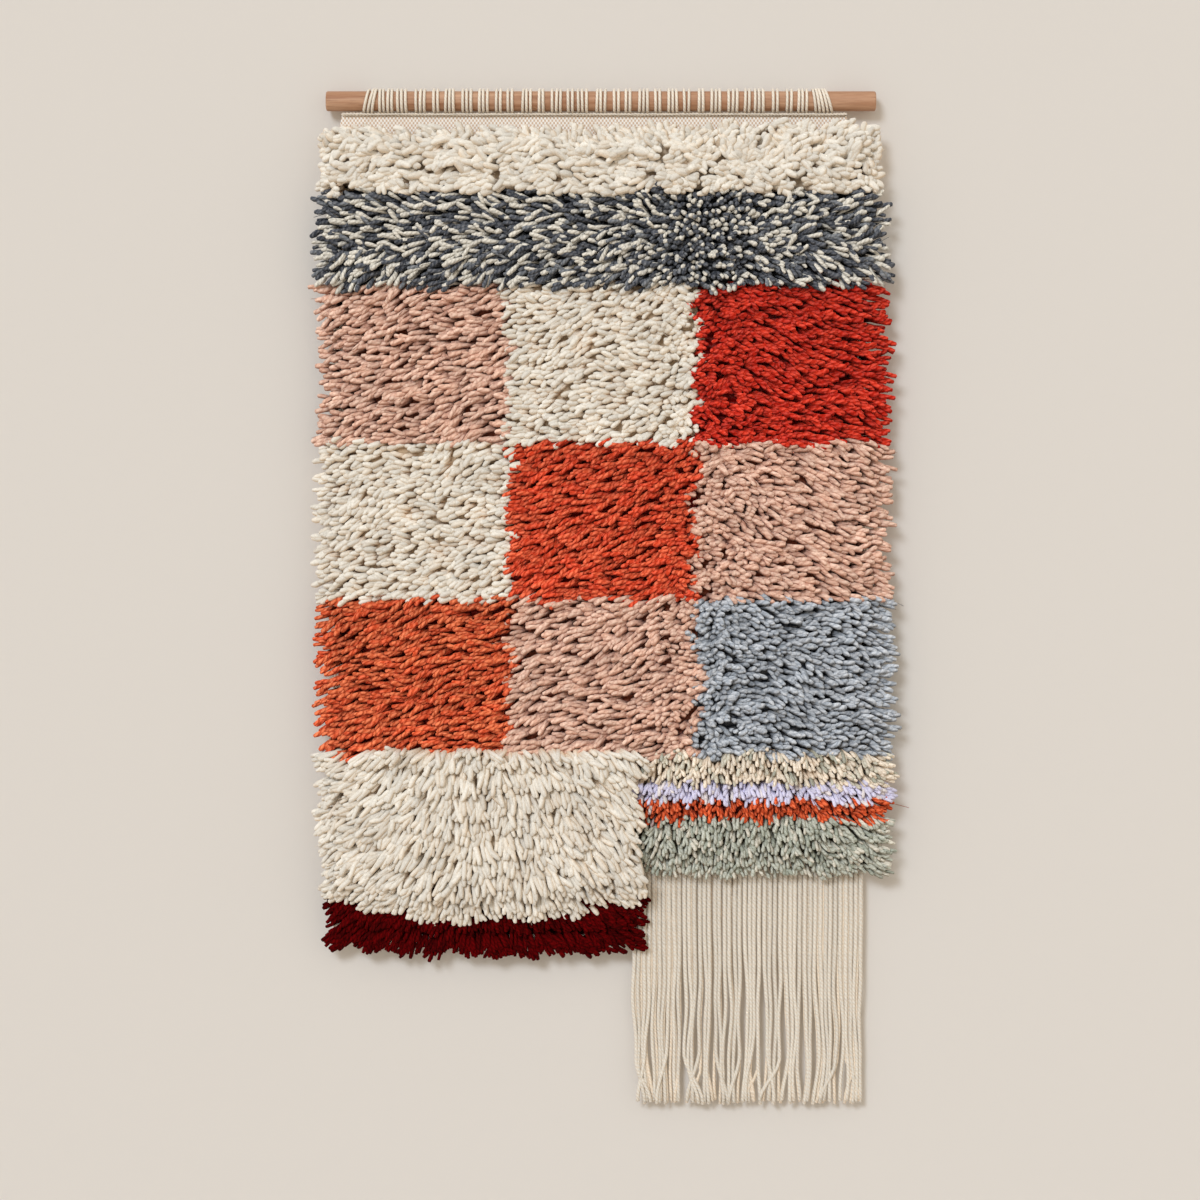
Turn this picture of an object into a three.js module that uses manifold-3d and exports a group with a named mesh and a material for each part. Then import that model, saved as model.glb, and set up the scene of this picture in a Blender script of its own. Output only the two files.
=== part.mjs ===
// Shag wall hanging on a wooden dowel.
// Millimetres, +Z up. The front faces -Y and the wall is on the +Y side.
// The origin is the middle of the dowel's axis.

import * as THREE from 'three';
import Module from 'manifold-3d';

const wasm = await Module();
wasm.setup();

// Clearance between neighbouring pieces. Two blocks of pile side by side give half of it each.
const gap = 0.3;
const seam = gap / 2;

// The ends are rounded in two steps, the first a share of the rounding from the outside.
const dowel = { length: 610, radius: 11, sides: 24, endRound: 2, firstStep: 0.3 };

// The stretch of the dowel that the warp loops cover.
const wrapped = { left: -266, right: 257 };

// Where the bare ends begin that rest on the wall hooks, clear of the heading below.
const hookSeat = { left: -292, right: 278 };

// The woven ground: its heading shows above the pile, and its hem steps up on the right.
// The selvages and hems are drawn in a little between stations an edge step apart.
const cloth = {
  thickness: 3,
  top: -15.8,
  headingLeft: -288,
  headingRight: 273,
  headingFlare: 3,
  headingEnd: -31,
  shoulder: -62,
  left: -298,
  right: 296,
  step: 32,
  leftHem: -935,
  rightHem: -850,
  edgeStep: 80,
  drawnIn: 1.3,
  drawnLeast: 0.2,
};

// The edging is a thick twined row along the heading, into which the loops run.
const edging = { top: -12.2, depth: 7.4, sag: 0.25, waves: 3, steps: 12 };

// A warp loop is a flat pair of cords from the edging, over the dowel and back to the edging.
const loop = {
  innerRadius: 11.95,
  thickness: 2.7,
  width: 5,
  steps: 9,
  startAngle: 10,
  together: 6.2,
  groupSize: 3,
  openWood: 14,
  openSpread: 12,
  endReach: 30,
  endSlant: 14,
};

// Levels and uprights where one block of pile meets the next.
const level = {
  pileTop: -36,
  tweedTop: -100,
  patchTop: -206,
  patchEnd: -725,
  lilacTop: -757,
  rustTop: -776,
  sageTop: -796,
  sageEnd: -851,
  shagEnd: -884,
  burgundyEnd: -936,
};
const upright = { patchLeft: -104, patchRight: 107, shagRight: 43, burgundyRight: 47 };

// How far the tips of the rim's locks reach at each height, from the top of the pile down.
const reach = [
  { z: -22, left: -296, right: 276 },
  { z: -50, left: -315, right: 306 },
  { z: -100, left: -319, right: 322 },
  { z: -150, left: -330, right: 325 },
  { z: -209, left: -320, right: 326 },
  { z: -275, left: -316, right: 326 },
  { z: -355, left: -317, right: 330 },
  { z: -430, left: -325, right: 328 },
  { z: -540, left: -326, right: 327 },
  { z: -640, left: -316, right: 332 },
  { z: -726, left: -322, right: 335 },
  { z: -819, left: -324, right: 326 },
  { z: -852, left: -323, right: 318 },
  { z: -890, left: -315, right: 318 },
  { z: -940, left: -306, right: 318 },
];

// Lumps are the hills of the pile's front. The rim lies inside the reach of its locks.
const lump = { step: 23, height: 5.6, leastHeight: 0.35, drift: 0.2, rimDrift: 2 };
const rimInset = 9;

// The share of a block's depth that stands at each kind of edge, and one lump further in.
const edgeShare = {
  rim: [0.45, 0.88],
  inner: [0.84, 1],
  side: [0.62, 0.94],
  overhang: [0.93, 1],
};

// A lock is a bunch of strands that stands out of the rim: its size, and how it hangs.
const lock = {
  halfWidth: 5.2,
  halfDepth: 3.2,
  rootDepth: 8,
  bend: 0.7,
  bendSize: 0.9,
  bendStray: 1.2,
  tipSpread: 4,
  fan: 12,
  side: { pitch: 15.5, start: 0.36, drop: 4, lean: 2 },
  up: { pitch: 26, length: 13, lean: 5, height: 0.22 },
  down: { pitch: 17, length: 11, lean: 1, height: 0.22 },
  over: { pitch: 17, length: 29, lean: 4, height: 0.72 },
};

// The fringe hangs in two layers from a strip under the right hem.
const fringe = {
  left: 34,
  right: 293,
  stripHeight: 6,
  stripDepth: 7.8,
  bottom: -1106,
  bottomSpread: 5,
  frontCount: 38,
  backCount: 18,
  halfWidth: 1.9,
  halfDepth: 1.7,
  frontY: 2.1,
  backY: 5.9,
  steps: 5,
  frontInset: 2.5,
  backInset: 6,
  clumpPitch: 35,
  clumpPull: 1.2,
  waveLength: 190,
  waveLag: 0.6,
  wave: 2.2,
  swayFrom: 0.3,
};

const finish = {
  wood: { color: 0xb68c6d, roughness: 0.55 },
  ecru: { color: 0xd3c6b3, roughness: 0.9 },
  cream: { color: 0xdccfbc, roughness: 0.95 },
  tweed: { color: 0x7c8086, roughness: 0.95 },
  pink: { color: 0xc8a28d, roughness: 0.95 },
  rust_deep: { color: 0x9e281c, roughness: 0.95 },
  rust_mid: { color: 0xb8432c, roughness: 0.95 },
  rust_light: { color: 0xc65734, roughness: 0.95 },
  blue: { color: 0x979ba1, roughness: 0.95 },
  mixed: { color: 0xbcae98, roughness: 0.95 },
  lilac: { color: 0xb3aec0, roughness: 0.95 },
  sage: { color: 0xa0a194, roughness: 0.95 },
  burgundy: { color: 0x4c0a0c, roughness: 0.95 },
};

// The nine patches, rows from the top down: the tones step one place to the left in each row.
const patchTones = [
  ['pink', 'cream', 'rust_deep'],
  ['cream', 'rust_mid', 'pink'],
  ['rust_light', 'pink', 'blue'],
];
const patchDepth = 22;

// The other blocks of pile. A side that a row leaves out is the hanging's own rim, which has locks.
// Where hang is up, down or over, locks also rise above the block, hang below it, or over the next.
const { patchLeft, patchRight, shagRight, burgundyRight } = upright;
const bands = [
  {
    name: 'cream_band', tone: 'cream', depth: 30, top: level.pileTop, bottom: level.tweedTop,
    topEdge: 'rim', hang: 'up',
  },
  { name: 'tweed_band', tone: 'tweed', depth: 27, top: level.tweedTop, bottom: level.patchTop },
  {
    name: 'long_shag', tone: 'cream', depth: 34, top: level.patchEnd, bottom: level.shagEnd,
    right: shagRight, rightEdge: 'side', locksBelow: level.sageEnd, bottomEdge: 'overhang', hang: 'over',
  },
  {
    name: 'burgundy_hem', tone: 'burgundy', depth: 13, top: level.shagEnd, bottom: level.burgundyEnd,
    right: burgundyRight, rightEdge: 'rim', bottomEdge: 'rim', hang: 'down',
  },
  {
    name: 'mixed_stripe', tone: 'mixed', depth: 25, top: level.patchEnd, bottom: level.lilacTop,
    left: shagRight,
  },
  {
    name: 'lilac_stripe', tone: 'lilac', depth: 24, top: level.lilacTop, bottom: level.rustTop,
    left: shagRight,
  },
  {
    name: 'rust_stripe', tone: 'rust_mid', depth: 24, top: level.rustTop, bottom: level.sageTop,
    left: shagRight,
  },
  {
    name: 'sage_end', tone: 'sage', depth: 25, top: level.sageTop, bottom: level.sageEnd,
    left: shagRight, bottomEdge: 'rim', hang: 'down',
  },
];

const { lerp, clamp } = THREE.MathUtils;

// A repeatable stream of numbers from 0 to 1.
function seeded(seed) {
  let state = seed;
  return () => {
    state = (state * 1664525 + 1013904223) % 4294967296;
    return state / 4294967296;
  };
}

// The reach of the tips at a height, between the rows of its table.
function reachAt(z, side) {
  const above = clamp(reach.findLastIndex((row) => row.z > z), 0, reach.length - 2);
  const [upper, lower] = [reach[above], reach[above + 1]];
  const t = clamp((upper.z - z) / (upper.z - lower.z), 0, 1);
  return lerp(upper[side], lower[side], t);
}

function toGeometry({ positions, indices }) {
  const geometry = new THREE.BufferGeometry();
  geometry.setAttribute('position', new THREE.Float32BufferAttribute(positions, 3));
  geometry.setIndex(indices);
  return geometry;
}

function toSolid({ positions, indices }) {
  const vertProperties = new Float32Array(positions);
  const triVerts = new Uint32Array(indices);
  return new wasm.Manifold(new wasm.Mesh({ numProp: 3, vertProperties, triVerts }));
}

function fromSolid(solid) {
  const mesh = solid.getMesh();
  return toGeometry({ positions: Array.from(mesh.vertProperties), indices: Array.from(mesh.triVerts) });
}

// Joins shapes that overlap into one solid.
function joined(shapes) {
  const [first, ...others] = shapes.map(toSolid);
  return fromSolid(others.reduce((whole, part) => whole.add(part), first));
}

const diamond = [[1, 0], [0, 1], [-1, 0], [0, -1]];
const flatBar = [[1, 1], [-1, 1], [-1, -1], [1, -1]];

// Carries a four-cornered section along a path. Its first half size lies along `across`.
// With a point, the last place on the path is a single tip.
function sweep(path, section, halfSizes, across, pointed = false) {
  const positions = [];
  const indices = [];
  const last = path.length - 1;
  const ringCount = pointed ? last : path.length;
  const corners = section.length;
  path.forEach((place, i) => {
    const tangent = path[Math.min(i + 1, last)].clone().sub(path[Math.max(i - 1, 0)]).normalize();
    const first = across.clone().addScaledVector(tangent, -across.dot(tangent)).normalize();
    const second = tangent.clone().cross(first);
    const [a, b] = halfSizes[Math.min(i, halfSizes.length - 1)];
    const ring = i < ringCount ? section : [[0, 0]];
    ring.forEach(([u, v]) => {
      const corner = place.clone().addScaledVector(first, u * a).addScaledVector(second, v * b);
      positions.push(corner.x, corner.y, corner.z);
    });
  });
  for (let ring = 0; ring < ringCount - 1; ring++) {
    for (let k = 0; k < corners; k++) {
      const a = ring * corners + k;
      const b = ring * corners + ((k + 1) % corners);
      indices.push(a, b, b + corners, a, b + corners, a + corners);
    }
  }
  const endRing = (ringCount - 1) * corners;
  for (let k = 0; pointed && k < corners; k++) {
    indices.push(endRing + k, endRing + ((k + 1) % corners), endRing + corners);
  }
  for (let k = 1; k < corners - 1; k++) {
    indices.push(0, k + 1, k);
    if (!pointed) {
      indices.push(endRing, endRing + k, endRing + k + 1);
    }
  }
  return { positions, indices };
}

const alongX = new THREE.Vector3(1, 0, 0);
const alongY = new THREE.Vector3(0, 1, 0);

// A turned rod. Its flats face straight up, down, forward and back.
function dowelGeometry() {
  const { radius, sides, endRound, firstStep } = dowel;
  const end = dowel.length / 2;
  const profile = [
    [0, -end],
    [radius - endRound, -end],
    [radius - endRound * firstStep, -end + endRound * firstStep],
    [radius, -end + endRound],
    [radius, hookSeat.left],
    [radius, wrapped.left],
    [radius, wrapped.right],
    [radius, hookSeat.right],
    [radius, end - endRound],
    [radius - endRound * firstStep, end - endRound * firstStep],
    [radius - endRound, end],
    [0, end],
  ];
  const points = profile.map(([across, along]) => new THREE.Vector2(across, along));
  const geometry = new THREE.LatheGeometry(points, sides);
  return geometry.rotateY(Math.PI / sides).rotateZ(-Math.PI / 2);
}

// The woven ground, heading and hem in one sheet. The outline runs down the left side first.
function clothGeometry() {
  const c = cloth;
  const corners = [
    { x: c.headingLeft, z: c.top, woven: true },
    { x: c.headingLeft - c.headingFlare, z: c.headingEnd, woven: true },
    { x: c.left, z: c.shoulder, woven: true },
    { x: c.left, z: c.leftHem, woven: true },
    { x: c.step - gap, z: c.leftHem, woven: false },
    { x: c.step - gap, z: c.rightHem, woven: false },
    { x: c.right, z: c.rightHem, woven: true },
    { x: c.right, z: c.shoulder, woven: true },
    { x: c.headingRight + c.headingFlare, z: c.headingEnd, woven: true },
    { x: c.headingRight, z: c.top, woven: false },
  ];
  const points = [];
  corners.forEach(({ x, z, woven }, i) => {
    const next = corners[(i + 1) % corners.length];
    const along = new THREE.Vector2(next.x - x, next.z - z);
    const inward = new THREE.Vector2(-along.y, along.x).normalize();
    const steps = woven ? Math.max(1, Math.round(along.length() / c.edgeStep)) : 1;
    for (let k = 0; k < steps; k++) {
      const drawn = k === 0 ? 0 : lerp(c.drawnLeast, c.drawnIn, Math.sin(2 * i + k * k) ** 2);
      points.push(new THREE.Vector2(x, z).addScaledVector(along, k / steps).addScaledVector(inward, drawn));
    }
  });
  const extrusion = { depth: c.thickness, bevelEnabled: false };
  const geometry = new THREE.ExtrudeGeometry(new THREE.Shape(points), extrusion);
  return geometry.rotateX(Math.PI / 2).translate(0, c.thickness, 0);
}

// One ring of the flat double cord round the dowel, its ends in the edging.
function loopShape(bottomX, topX) {
  const radius = loop.innerRadius + loop.thickness / 2;
  const path = [];
  for (let i = 0; i <= loop.steps; i++) {
    const degrees = lerp(loop.startAngle, 360 - loop.startAngle, i / loop.steps);
    const angle = THREE.MathUtils.degToRad(degrees);
    const rise = Math.sin(angle / 2) ** 2;
    path.push(new THREE.Vector3(
      lerp(bottomX, topX, rise),
      -radius * Math.sin(angle),
      -radius * Math.cos(angle),
    ));
  }
  return sweep(path, flatBar, [[loop.width / 2, loop.thickness / 2]], alongX);
}

function warpLoopsGeometry() {
  const random = seeded(11);
  const stripHeight = edging.top - cloth.top - gap;
  const path = [];
  for (let i = 0; i <= edging.steps; i++) {
    const t = i / edging.steps;
    const sag = edging.sag * Math.sin(2 * Math.PI * edging.waves * t);
    const x = lerp(cloth.headingLeft, cloth.headingRight, t);
    path.push(new THREE.Vector3(x, 0, edging.top - stripHeight / 2 + sag / 2));
  }
  const shapes = [sweep(path, flatBar, [[edging.depth / 2, (stripHeight - edging.sag) / 2]], alongY)];
  const halfWidth = loop.width / 2;
  let x = wrapped.left + halfWidth;
  while (x < wrapped.right - halfWidth) {
    const size = 1 + Math.floor(loop.groupSize * random());
    for (let k = 0; k < size && x < wrapped.right - halfWidth; k++) {
      const fromLeft = clamp(1 - (x - wrapped.left) / loop.endReach, 0, 1);
      const fromRight = clamp(1 - (wrapped.right - x) / loop.endReach, 0, 1);
      shapes.push(loopShape(x, x + loop.endSlant * (fromLeft - fromRight)));
      x += loop.together;
    }
    x += loop.openWood + loop.openSpread * random();
  }
  return joined(shapes);
}

// The share of its depth that a block has at a lattice point, from its distance to the edges.
function standing(block, row, rows, column, columns) {
  const share = (kind, steps) => edgeShare[kind][steps] ?? 1;
  return Math.min(
    share(block.topEdge ?? 'inner', row),
    share(block.bottomEdge ?? 'inner', rows - row),
    share(block.leftEdge, column),
    share(block.rightEdge, columns - column),
  );
}

// Where the slab's side stands at a height: at a seam, or inside the reach of its locks.
function sideX(block, side, z) {
  if (block[side] !== undefined) {
    return block[side] + (side === 'left' ? seam : -seam);
  }
  return reachAt(z, side) + (side === 'left' ? rimInset : -rimInset);
}

// The front of a slab: a lattice of hills and dips. Its sides and levels stay straight at a seam.
function slabFront(block, rows, columns, random) {
  const top = block.top - seam;
  const bottom = block.bottom + seam;
  const stray = () => 2 * random() - 1;
  const positions = [];
  for (let row = 0; row <= rows; row++) {
    const z = lerp(top, bottom, row / rows);
    const [left, right] = [sideX(block, 'left', z), sideX(block, 'right', z)];
    const inLevel = row > 0 && row < rows;
    for (let column = 0; column <= columns; column++) {
      const onLeft = column === 0;
      const onRight = column === columns;
      const onRim = (onLeft && block.left === undefined) || (onRight && block.right === undefined);
      const freeX = onRim ? lump.rimDrift : (lump.drift * (right - left)) / columns;
      const freeZ = (lump.drift * (top - bottom)) / rows;
      const x = lerp(left, right, column / columns) + (onRim || !(onLeft || onRight) ? freeX * stray() : 0);
      const up = (row + column) % 2 === 0 ? 1 : -1;
      const hill = up * lump.height * lerp(lump.leastHeight, 1, random());
      const height = standing(block, row, rows, column, columns) * (block.depth + hill);
      positions.push(x, -gap - height, z + (inLevel ? freeZ * stray() : 0));
    }
  }
  return positions;
}

// The border of a lattice: down the left side, along the bottom, up the right side and back.
function latticeBorder(front, rows, columns) {
  const border = [];
  for (let row = 0; row < rows; row++) {
    border.push(front(row, 0));
  }
  for (let column = 0; column < columns; column++) {
    border.push(front(rows, column));
  }
  for (let row = rows; row > 0; row--) {
    border.push(front(row, columns));
  }
  for (let column = columns; column > 0; column--) {
    border.push(front(0, column));
  }
  return border;
}

// Rows and columns on from a lattice cell's first corner, round the cell.
const cellCorners = [[0, 0], [1, 0], [1, 1], [0, 1]];

// A slab with a flat back against the cloth and a lumpy front, closed by a wall round its border.
function slabShape(block, random) {
  const middle = (block.top + block.bottom) / 2;
  const width = sideX(block, 'right', middle) - sideX(block, 'left', middle);
  const rows = Math.max(2, Math.round((block.top - block.bottom) / lump.step));
  const columns = Math.round(width / lump.step);
  const front = (row, column) => row * (columns + 1) + column;
  const positions = slabFront(block, rows, columns, random);
  const indices = [];

  for (let row = 0; row < rows; row++) {
    for (let column = 0; column < columns; column++) {
      const turn = (row + column) % 2;
      const [a, b, c, d] = [0, 1, 2, 3]
        .map((k) => cellCorners[(k + turn) % 4])
        .map(([down, over]) => front(row + down, column + over));
      indices.push(a, b, c, a, c, d);
    }
  }

  const border = latticeBorder(front, rows, columns);
  const behind = new Map();
  border.forEach((point) => {
    behind.set(point, positions.length / 3);
    positions.push(positions[point * 3], -gap, positions[point * 3 + 2]);
  });
  border.forEach((point, i) => {
    const next = border[(i + 1) % border.length];
    indices.push(next, point, behind.get(point), next, behind.get(point), behind.get(next));
  });

  // The back: a fan at the top and the bottom, and one pair of triangles for each row between.
  const back = (row, column) => behind.get(front(row, column));
  for (let column = 0; column < columns; column++) {
    indices.push(back(1, 0), back(0, column), back(0, column + 1));
    indices.push(back(rows - 1, columns), back(rows, column + 1), back(rows, column));
  }
  indices.push(back(1, 0), back(0, columns), back(1, columns));
  indices.push(back(rows, 0), back(rows - 1, 0), back(rows - 1, columns));
  for (let row = 1; row < rows - 1; row++) {
    indices.push(back(row + 1, 0), back(row, 0), back(row, columns));
    indices.push(back(row + 1, 0), back(row, columns), back(row + 1, columns));
  }
  return { positions, indices };
}

// A lock from a root inside the slab to a tip, bent once on the way. It is flat to the wall.
function lockShape(root, tip, halfDepth, random) {
  const bend = root.clone().lerp(tip, lock.bend);
  bend.y -= lock.bendStray * random();
  bend.z += lock.bendStray * (random() - 0.5);
  const halfWidth = lock.halfWidth * lerp(lock.bendSize, 1, random());
  const sizes = [[halfDepth, halfWidth], [halfDepth * lock.bendSize, halfWidth * lock.bendSize]];
  return sweep([root, bend, tip], diamond, sizes, alongY, true);
}

// The locks of a low block are as thin as its rim allows.
function lockDepth(block) {
  return Math.min(lock.halfDepth, (block.depth * edgeShare.rim[0]) / 2 - gap);
}

// Locks along the rim on one side, every second one nearer the front.
function sideLocks(block, side, random) {
  const { pitch, start, drop, lean } = lock.side;
  const sign = side === 'left' ? -1 : 1;
  const halfRim = (block.depth * edgeShare.rim[0]) / 2;
  const halfDepth = lockDepth(block);
  const count = Math.max(1, Math.round((block.top - block.bottom) / pitch));
  const shapes = [];
  for (let k = 0; k < count; k++) {
    const z = lerp(block.top, block.bottom, (k + start) / count);
    if (z + lock.halfWidth < (block.locksBelow ?? 0)) {
      const y = -gap - halfRim - (k % 2) * (halfRim - halfDepth);
      const rimX = sideX(block, side, z);
      const tipX = rimX + sign * (rimInset - lock.tipSpread * random());
      const root = new THREE.Vector3(rimX - sign * lock.rootDepth, y, z);
      const tip = new THREE.Vector3(tipX, y - lean * random(), z - drop * (random() + 0.4));
      shapes.push(lockShape(root, tip, halfDepth, random));
    }
  }
  return shapes;
}

// Locks along the top or the bottom, fanned a little to the sides.
function levelLocks(block, random) {
  const { pitch, length, lean, height } = lock[block.hang];
  const sign = block.hang === 'up' ? 1 : -1;
  const edge = block.hang === 'up' ? block.top : block.bottom;
  const y = -gap - block.depth * height;
  const left = sideX(block, 'left', edge) + lock.halfWidth;
  const right = sideX(block, 'right', edge) - lock.halfWidth;
  const count = Math.round((right - left) / pitch);
  const shapes = [];
  for (let k = 0; k < count; k++) {
    const t = (k + 0.5) / count;
    const x = lerp(left, right, t);
    const tipZ = edge + sign * (length - lock.tipSpread * random());
    const root = new THREE.Vector3(x, y, edge - sign * lock.rootDepth);
    const tip = new THREE.Vector3(x + lock.fan * (t - 0.5), y - lean, tipZ);
    shapes.push(lockShape(root, tip, lockDepth(block), random));
  }
  return shapes;
}

// A block of pile: its slab with the locks of its rim joined on.
function pileGeometry(block, seed) {
  const random = seeded(seed);
  const sides = {
    leftEdge: block.left === undefined ? 'rim' : 'inner',
    rightEdge: block.right === undefined ? 'rim' : 'inner',
  };
  const whole = { ...sides, ...block };
  const shapes = [slabShape(whole, random)];
  ['left', 'right'].forEach((side) => {
    if (whole[`${side}Edge`] !== 'inner') {
      shapes.push(...sideLocks(whole, side, random));
    }
  });
  if (whole.hang) {
    shapes.push(...levelLocks(whole, random));
  }
  return joined(shapes);
}

// One cord of the fringe. Neighbours drift together into clumps towards the bottom.
function strandShape(x, y, random) {
  const top = cloth.rightHem - gap - fringe.stripHeight / 2;
  const bottom = fringe.bottom - fringe.bottomSpread * random();
  const path = [];
  for (let i = 0; i <= fringe.steps; i++) {
    const t = i / fringe.steps;
    const z = lerp(top, bottom, t);
    const clump = fringe.clumpPull * Math.sin((2 * Math.PI * x) / fringe.clumpPitch);
    const phase = (2 * Math.PI * (z + fringe.waveLag * x)) / fringe.waveLength;
    const wave = fringe.wave * Math.sin(phase);
    const sway = Math.max(0, t - fringe.swayFrom) * Math.sin((2 * Math.PI * z) / fringe.waveLength);
    path.push(new THREE.Vector3(x + t * (clump + wave), y + sway, z));
  }
  const section = [[fringe.halfWidth, fringe.halfDepth]];
  return sweep(path, diamond, section, alongX);
}

function fringeGeometry() {
  const random = seeded(5);
  const { left, right, stripHeight, stripDepth } = fringe;
  const stripZ = cloth.rightHem - gap - stripHeight / 2;
  const ends = [left, right].map((x) => new THREE.Vector3(x, stripDepth / 2, stripZ));
  const shapes = [sweep(ends, flatBar, [[stripDepth / 2, stripHeight / 2]], alongY)];
  const layers = [
    { count: fringe.frontCount, y: fringe.frontY, inset: fringe.frontInset },
    { count: fringe.backCount, y: fringe.backY, inset: fringe.backInset },
  ];
  layers.forEach(({ count, y, inset }) => {
    for (let k = 0; k < count; k++) {
      const x = lerp(left + inset, right - inset, k / (count - 1));
      shapes.push(strandShape(x, y, random));
    }
  });
  return joined(shapes);
}

const hanging = new THREE.Group();

function addPiece(name, geometry, tone) {
  const material = new THREE.MeshStandardMaterial({ ...finish[tone], metalness: 0, flatShading: true });
  const mesh = new THREE.Mesh(geometry, material);
  mesh.name = name;
  hanging.add(mesh);
}

addPiece('dowel', dowelGeometry(), 'wood');
addPiece('warp_loops', warpLoopsGeometry(), 'ecru');
addPiece('ground_cloth', clothGeometry(), 'ecru');

bands.forEach((block, i) => addPiece(block.name, pileGeometry(block, 100 + i), block.tone));

patchTones.forEach((tones, row) => {
  tones.forEach((tone, column) => {
    const block = {
      depth: patchDepth,
      top: lerp(level.patchTop, level.patchEnd, row / 3),
      bottom: lerp(level.patchTop, level.patchEnd, (row + 1) / 3),
      left: [undefined, patchLeft, patchRight][column],
      right: [patchLeft, patchRight, undefined][column],
    };
    const name = `patch_${row + 1}_${column + 1}_${tone}`;
    addPiece(name, pileGeometry(block, 200 + 3 * row + column), tone);
  });
});

addPiece('fringe', fringeGeometry(), 'ecru');

export default hanging;
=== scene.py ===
# Shag wall hanging on a wooden dowel: its looks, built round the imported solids.
# The dictionaries hold millimetres, and putMesh turns them into Blender's metres.
import math

import bpy
import numpy as np
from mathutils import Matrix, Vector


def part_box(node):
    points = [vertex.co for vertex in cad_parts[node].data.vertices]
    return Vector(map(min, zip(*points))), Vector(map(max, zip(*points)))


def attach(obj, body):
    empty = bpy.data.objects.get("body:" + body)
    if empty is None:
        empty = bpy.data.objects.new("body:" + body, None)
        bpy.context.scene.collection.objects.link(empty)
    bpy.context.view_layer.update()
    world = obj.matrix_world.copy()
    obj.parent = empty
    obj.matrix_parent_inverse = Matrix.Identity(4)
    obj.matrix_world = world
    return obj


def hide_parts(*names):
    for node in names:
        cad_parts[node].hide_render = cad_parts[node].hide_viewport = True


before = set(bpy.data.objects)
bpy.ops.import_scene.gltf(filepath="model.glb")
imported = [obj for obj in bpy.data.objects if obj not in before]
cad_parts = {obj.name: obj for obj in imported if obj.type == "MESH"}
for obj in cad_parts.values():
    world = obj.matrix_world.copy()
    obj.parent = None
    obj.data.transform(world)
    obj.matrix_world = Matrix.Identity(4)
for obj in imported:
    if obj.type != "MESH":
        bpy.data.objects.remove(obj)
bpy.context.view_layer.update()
print("frame loaded:", len(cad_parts), "solids")

metre = 0.001
rng = np.random.default_rng(41)
outward = np.array([0.0, -1.0, 0.0])
alongX = (1.0, 0.0, 0.0)
alongZ = (0.0, 0.0, 1.0)


# Numbers


def unit(v):
    return v / np.maximum(np.linalg.norm(v, axis=-1, keepdims=True), 1e-9)


def smooth(t):
    # 0 to 1 with level ends: three t squared less two t cubed
    t = np.clip(t, 0, 1)
    return t * t * (3 - 2 * t)


def drift(x, z, size, seed):
    # soft noise from about -1 to 1: a sum of seven sine waves that cross at different angles
    waveCount, peak = 7, 2.6
    waves = np.random.default_rng(seed)
    total = 0.0
    for _ in range(waveCount):
        turn = waves.uniform(0, math.tau)
        pitch = size * waves.uniform(0.7, 1.5)
        along = (x * math.cos(turn) + z * math.sin(turn)) / pitch
        total = total + np.sin(math.tau * along + waves.uniform(0, math.tau))
    return total / peak


def toLinear(tone):
    # a screen colour from 0 to 255, as the light that Blender reckons with
    c = np.asarray(tone, float) / 255
    return np.where(c <= 0.04045, c / 12.92, ((c + 0.055) / 1.055) ** 2.4)


# Meshes


def putObject(name, data):
    piece = bpy.data.objects.new(name, data)
    bpy.context.scene.collection.objects.link(piece)
    return piece


def putMesh(name, points, faces, material, slot, nodes, uv=None, tone=None, rise=None):
    # Faces is a list of index arrays, one for each number of corners, and uv goes with their corners.
    # A mesh of yarn has all of uv, tone and rise, and the others have none of them.
    mesh = bpy.data.meshes.new(name)
    corners = np.concatenate([f.ravel() for f in faces]).astype(np.int32)
    sizes = np.concatenate([np.full(len(f), f.shape[1]) for f in faces])
    starts = np.concatenate([[0], np.cumsum(sizes)[:-1]]).astype(np.int32)
    mesh.vertices.add(len(points))
    mesh.vertices.foreach_set("co", (points * metre).astype(np.float32).ravel())
    mesh.loops.add(len(corners))
    mesh.loops.foreach_set("vertex_index", corners)
    mesh.polygons.add(len(sizes))
    mesh.polygons.foreach_set("loop_start", starts)
    mesh.update(calc_edges=True)
    mesh.polygons.foreach_set("use_smooth", np.ones(len(sizes), bool))
    if uv is not None:
        layer = mesh.uv_layers.new(name="yarnMap")
        layer.data.foreach_set("uv", uv.astype(np.float32).ravel())
        opaque = np.concatenate([tone, np.ones((len(tone), 1))], axis=1)
        layer = mesh.attributes.new("yarnTone", "FLOAT_COLOR", "POINT")
        layer.data.foreach_set("color", opaque.astype(np.float32).ravel())
        layer = mesh.attributes.new("rise", "FLOAT", "POINT")
        layer.data.foreach_set("value", rise.astype(np.float32))
    mesh.materials.append(material)
    piece = putObject(name, mesh)
    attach(piece, "root")
    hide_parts(*nodes)
    print(f"{name}: {int((sizes - 2).sum())} triangles")
    return piece


def tubeFaces(rings, sides):
    # the quads between a tube's rings, and a fan at each end to the two poles that follow the rings
    k = np.arange(sides)
    after = (k + 1) % sides
    s = np.arange(rings - 1)[:, None] * sides
    quads = np.stack([s + k, s + after, s + sides + after, s + sides + k], -1).reshape(-1, 4)
    last, pole = (rings - 1) * sides, rings * sides
    fans = np.concatenate([
        np.stack([after, k, np.full(sides, pole)], -1),
        np.stack([last + k, last + after, np.full(sides, pole + 1)], -1),
    ])
    return quads, fans


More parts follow.
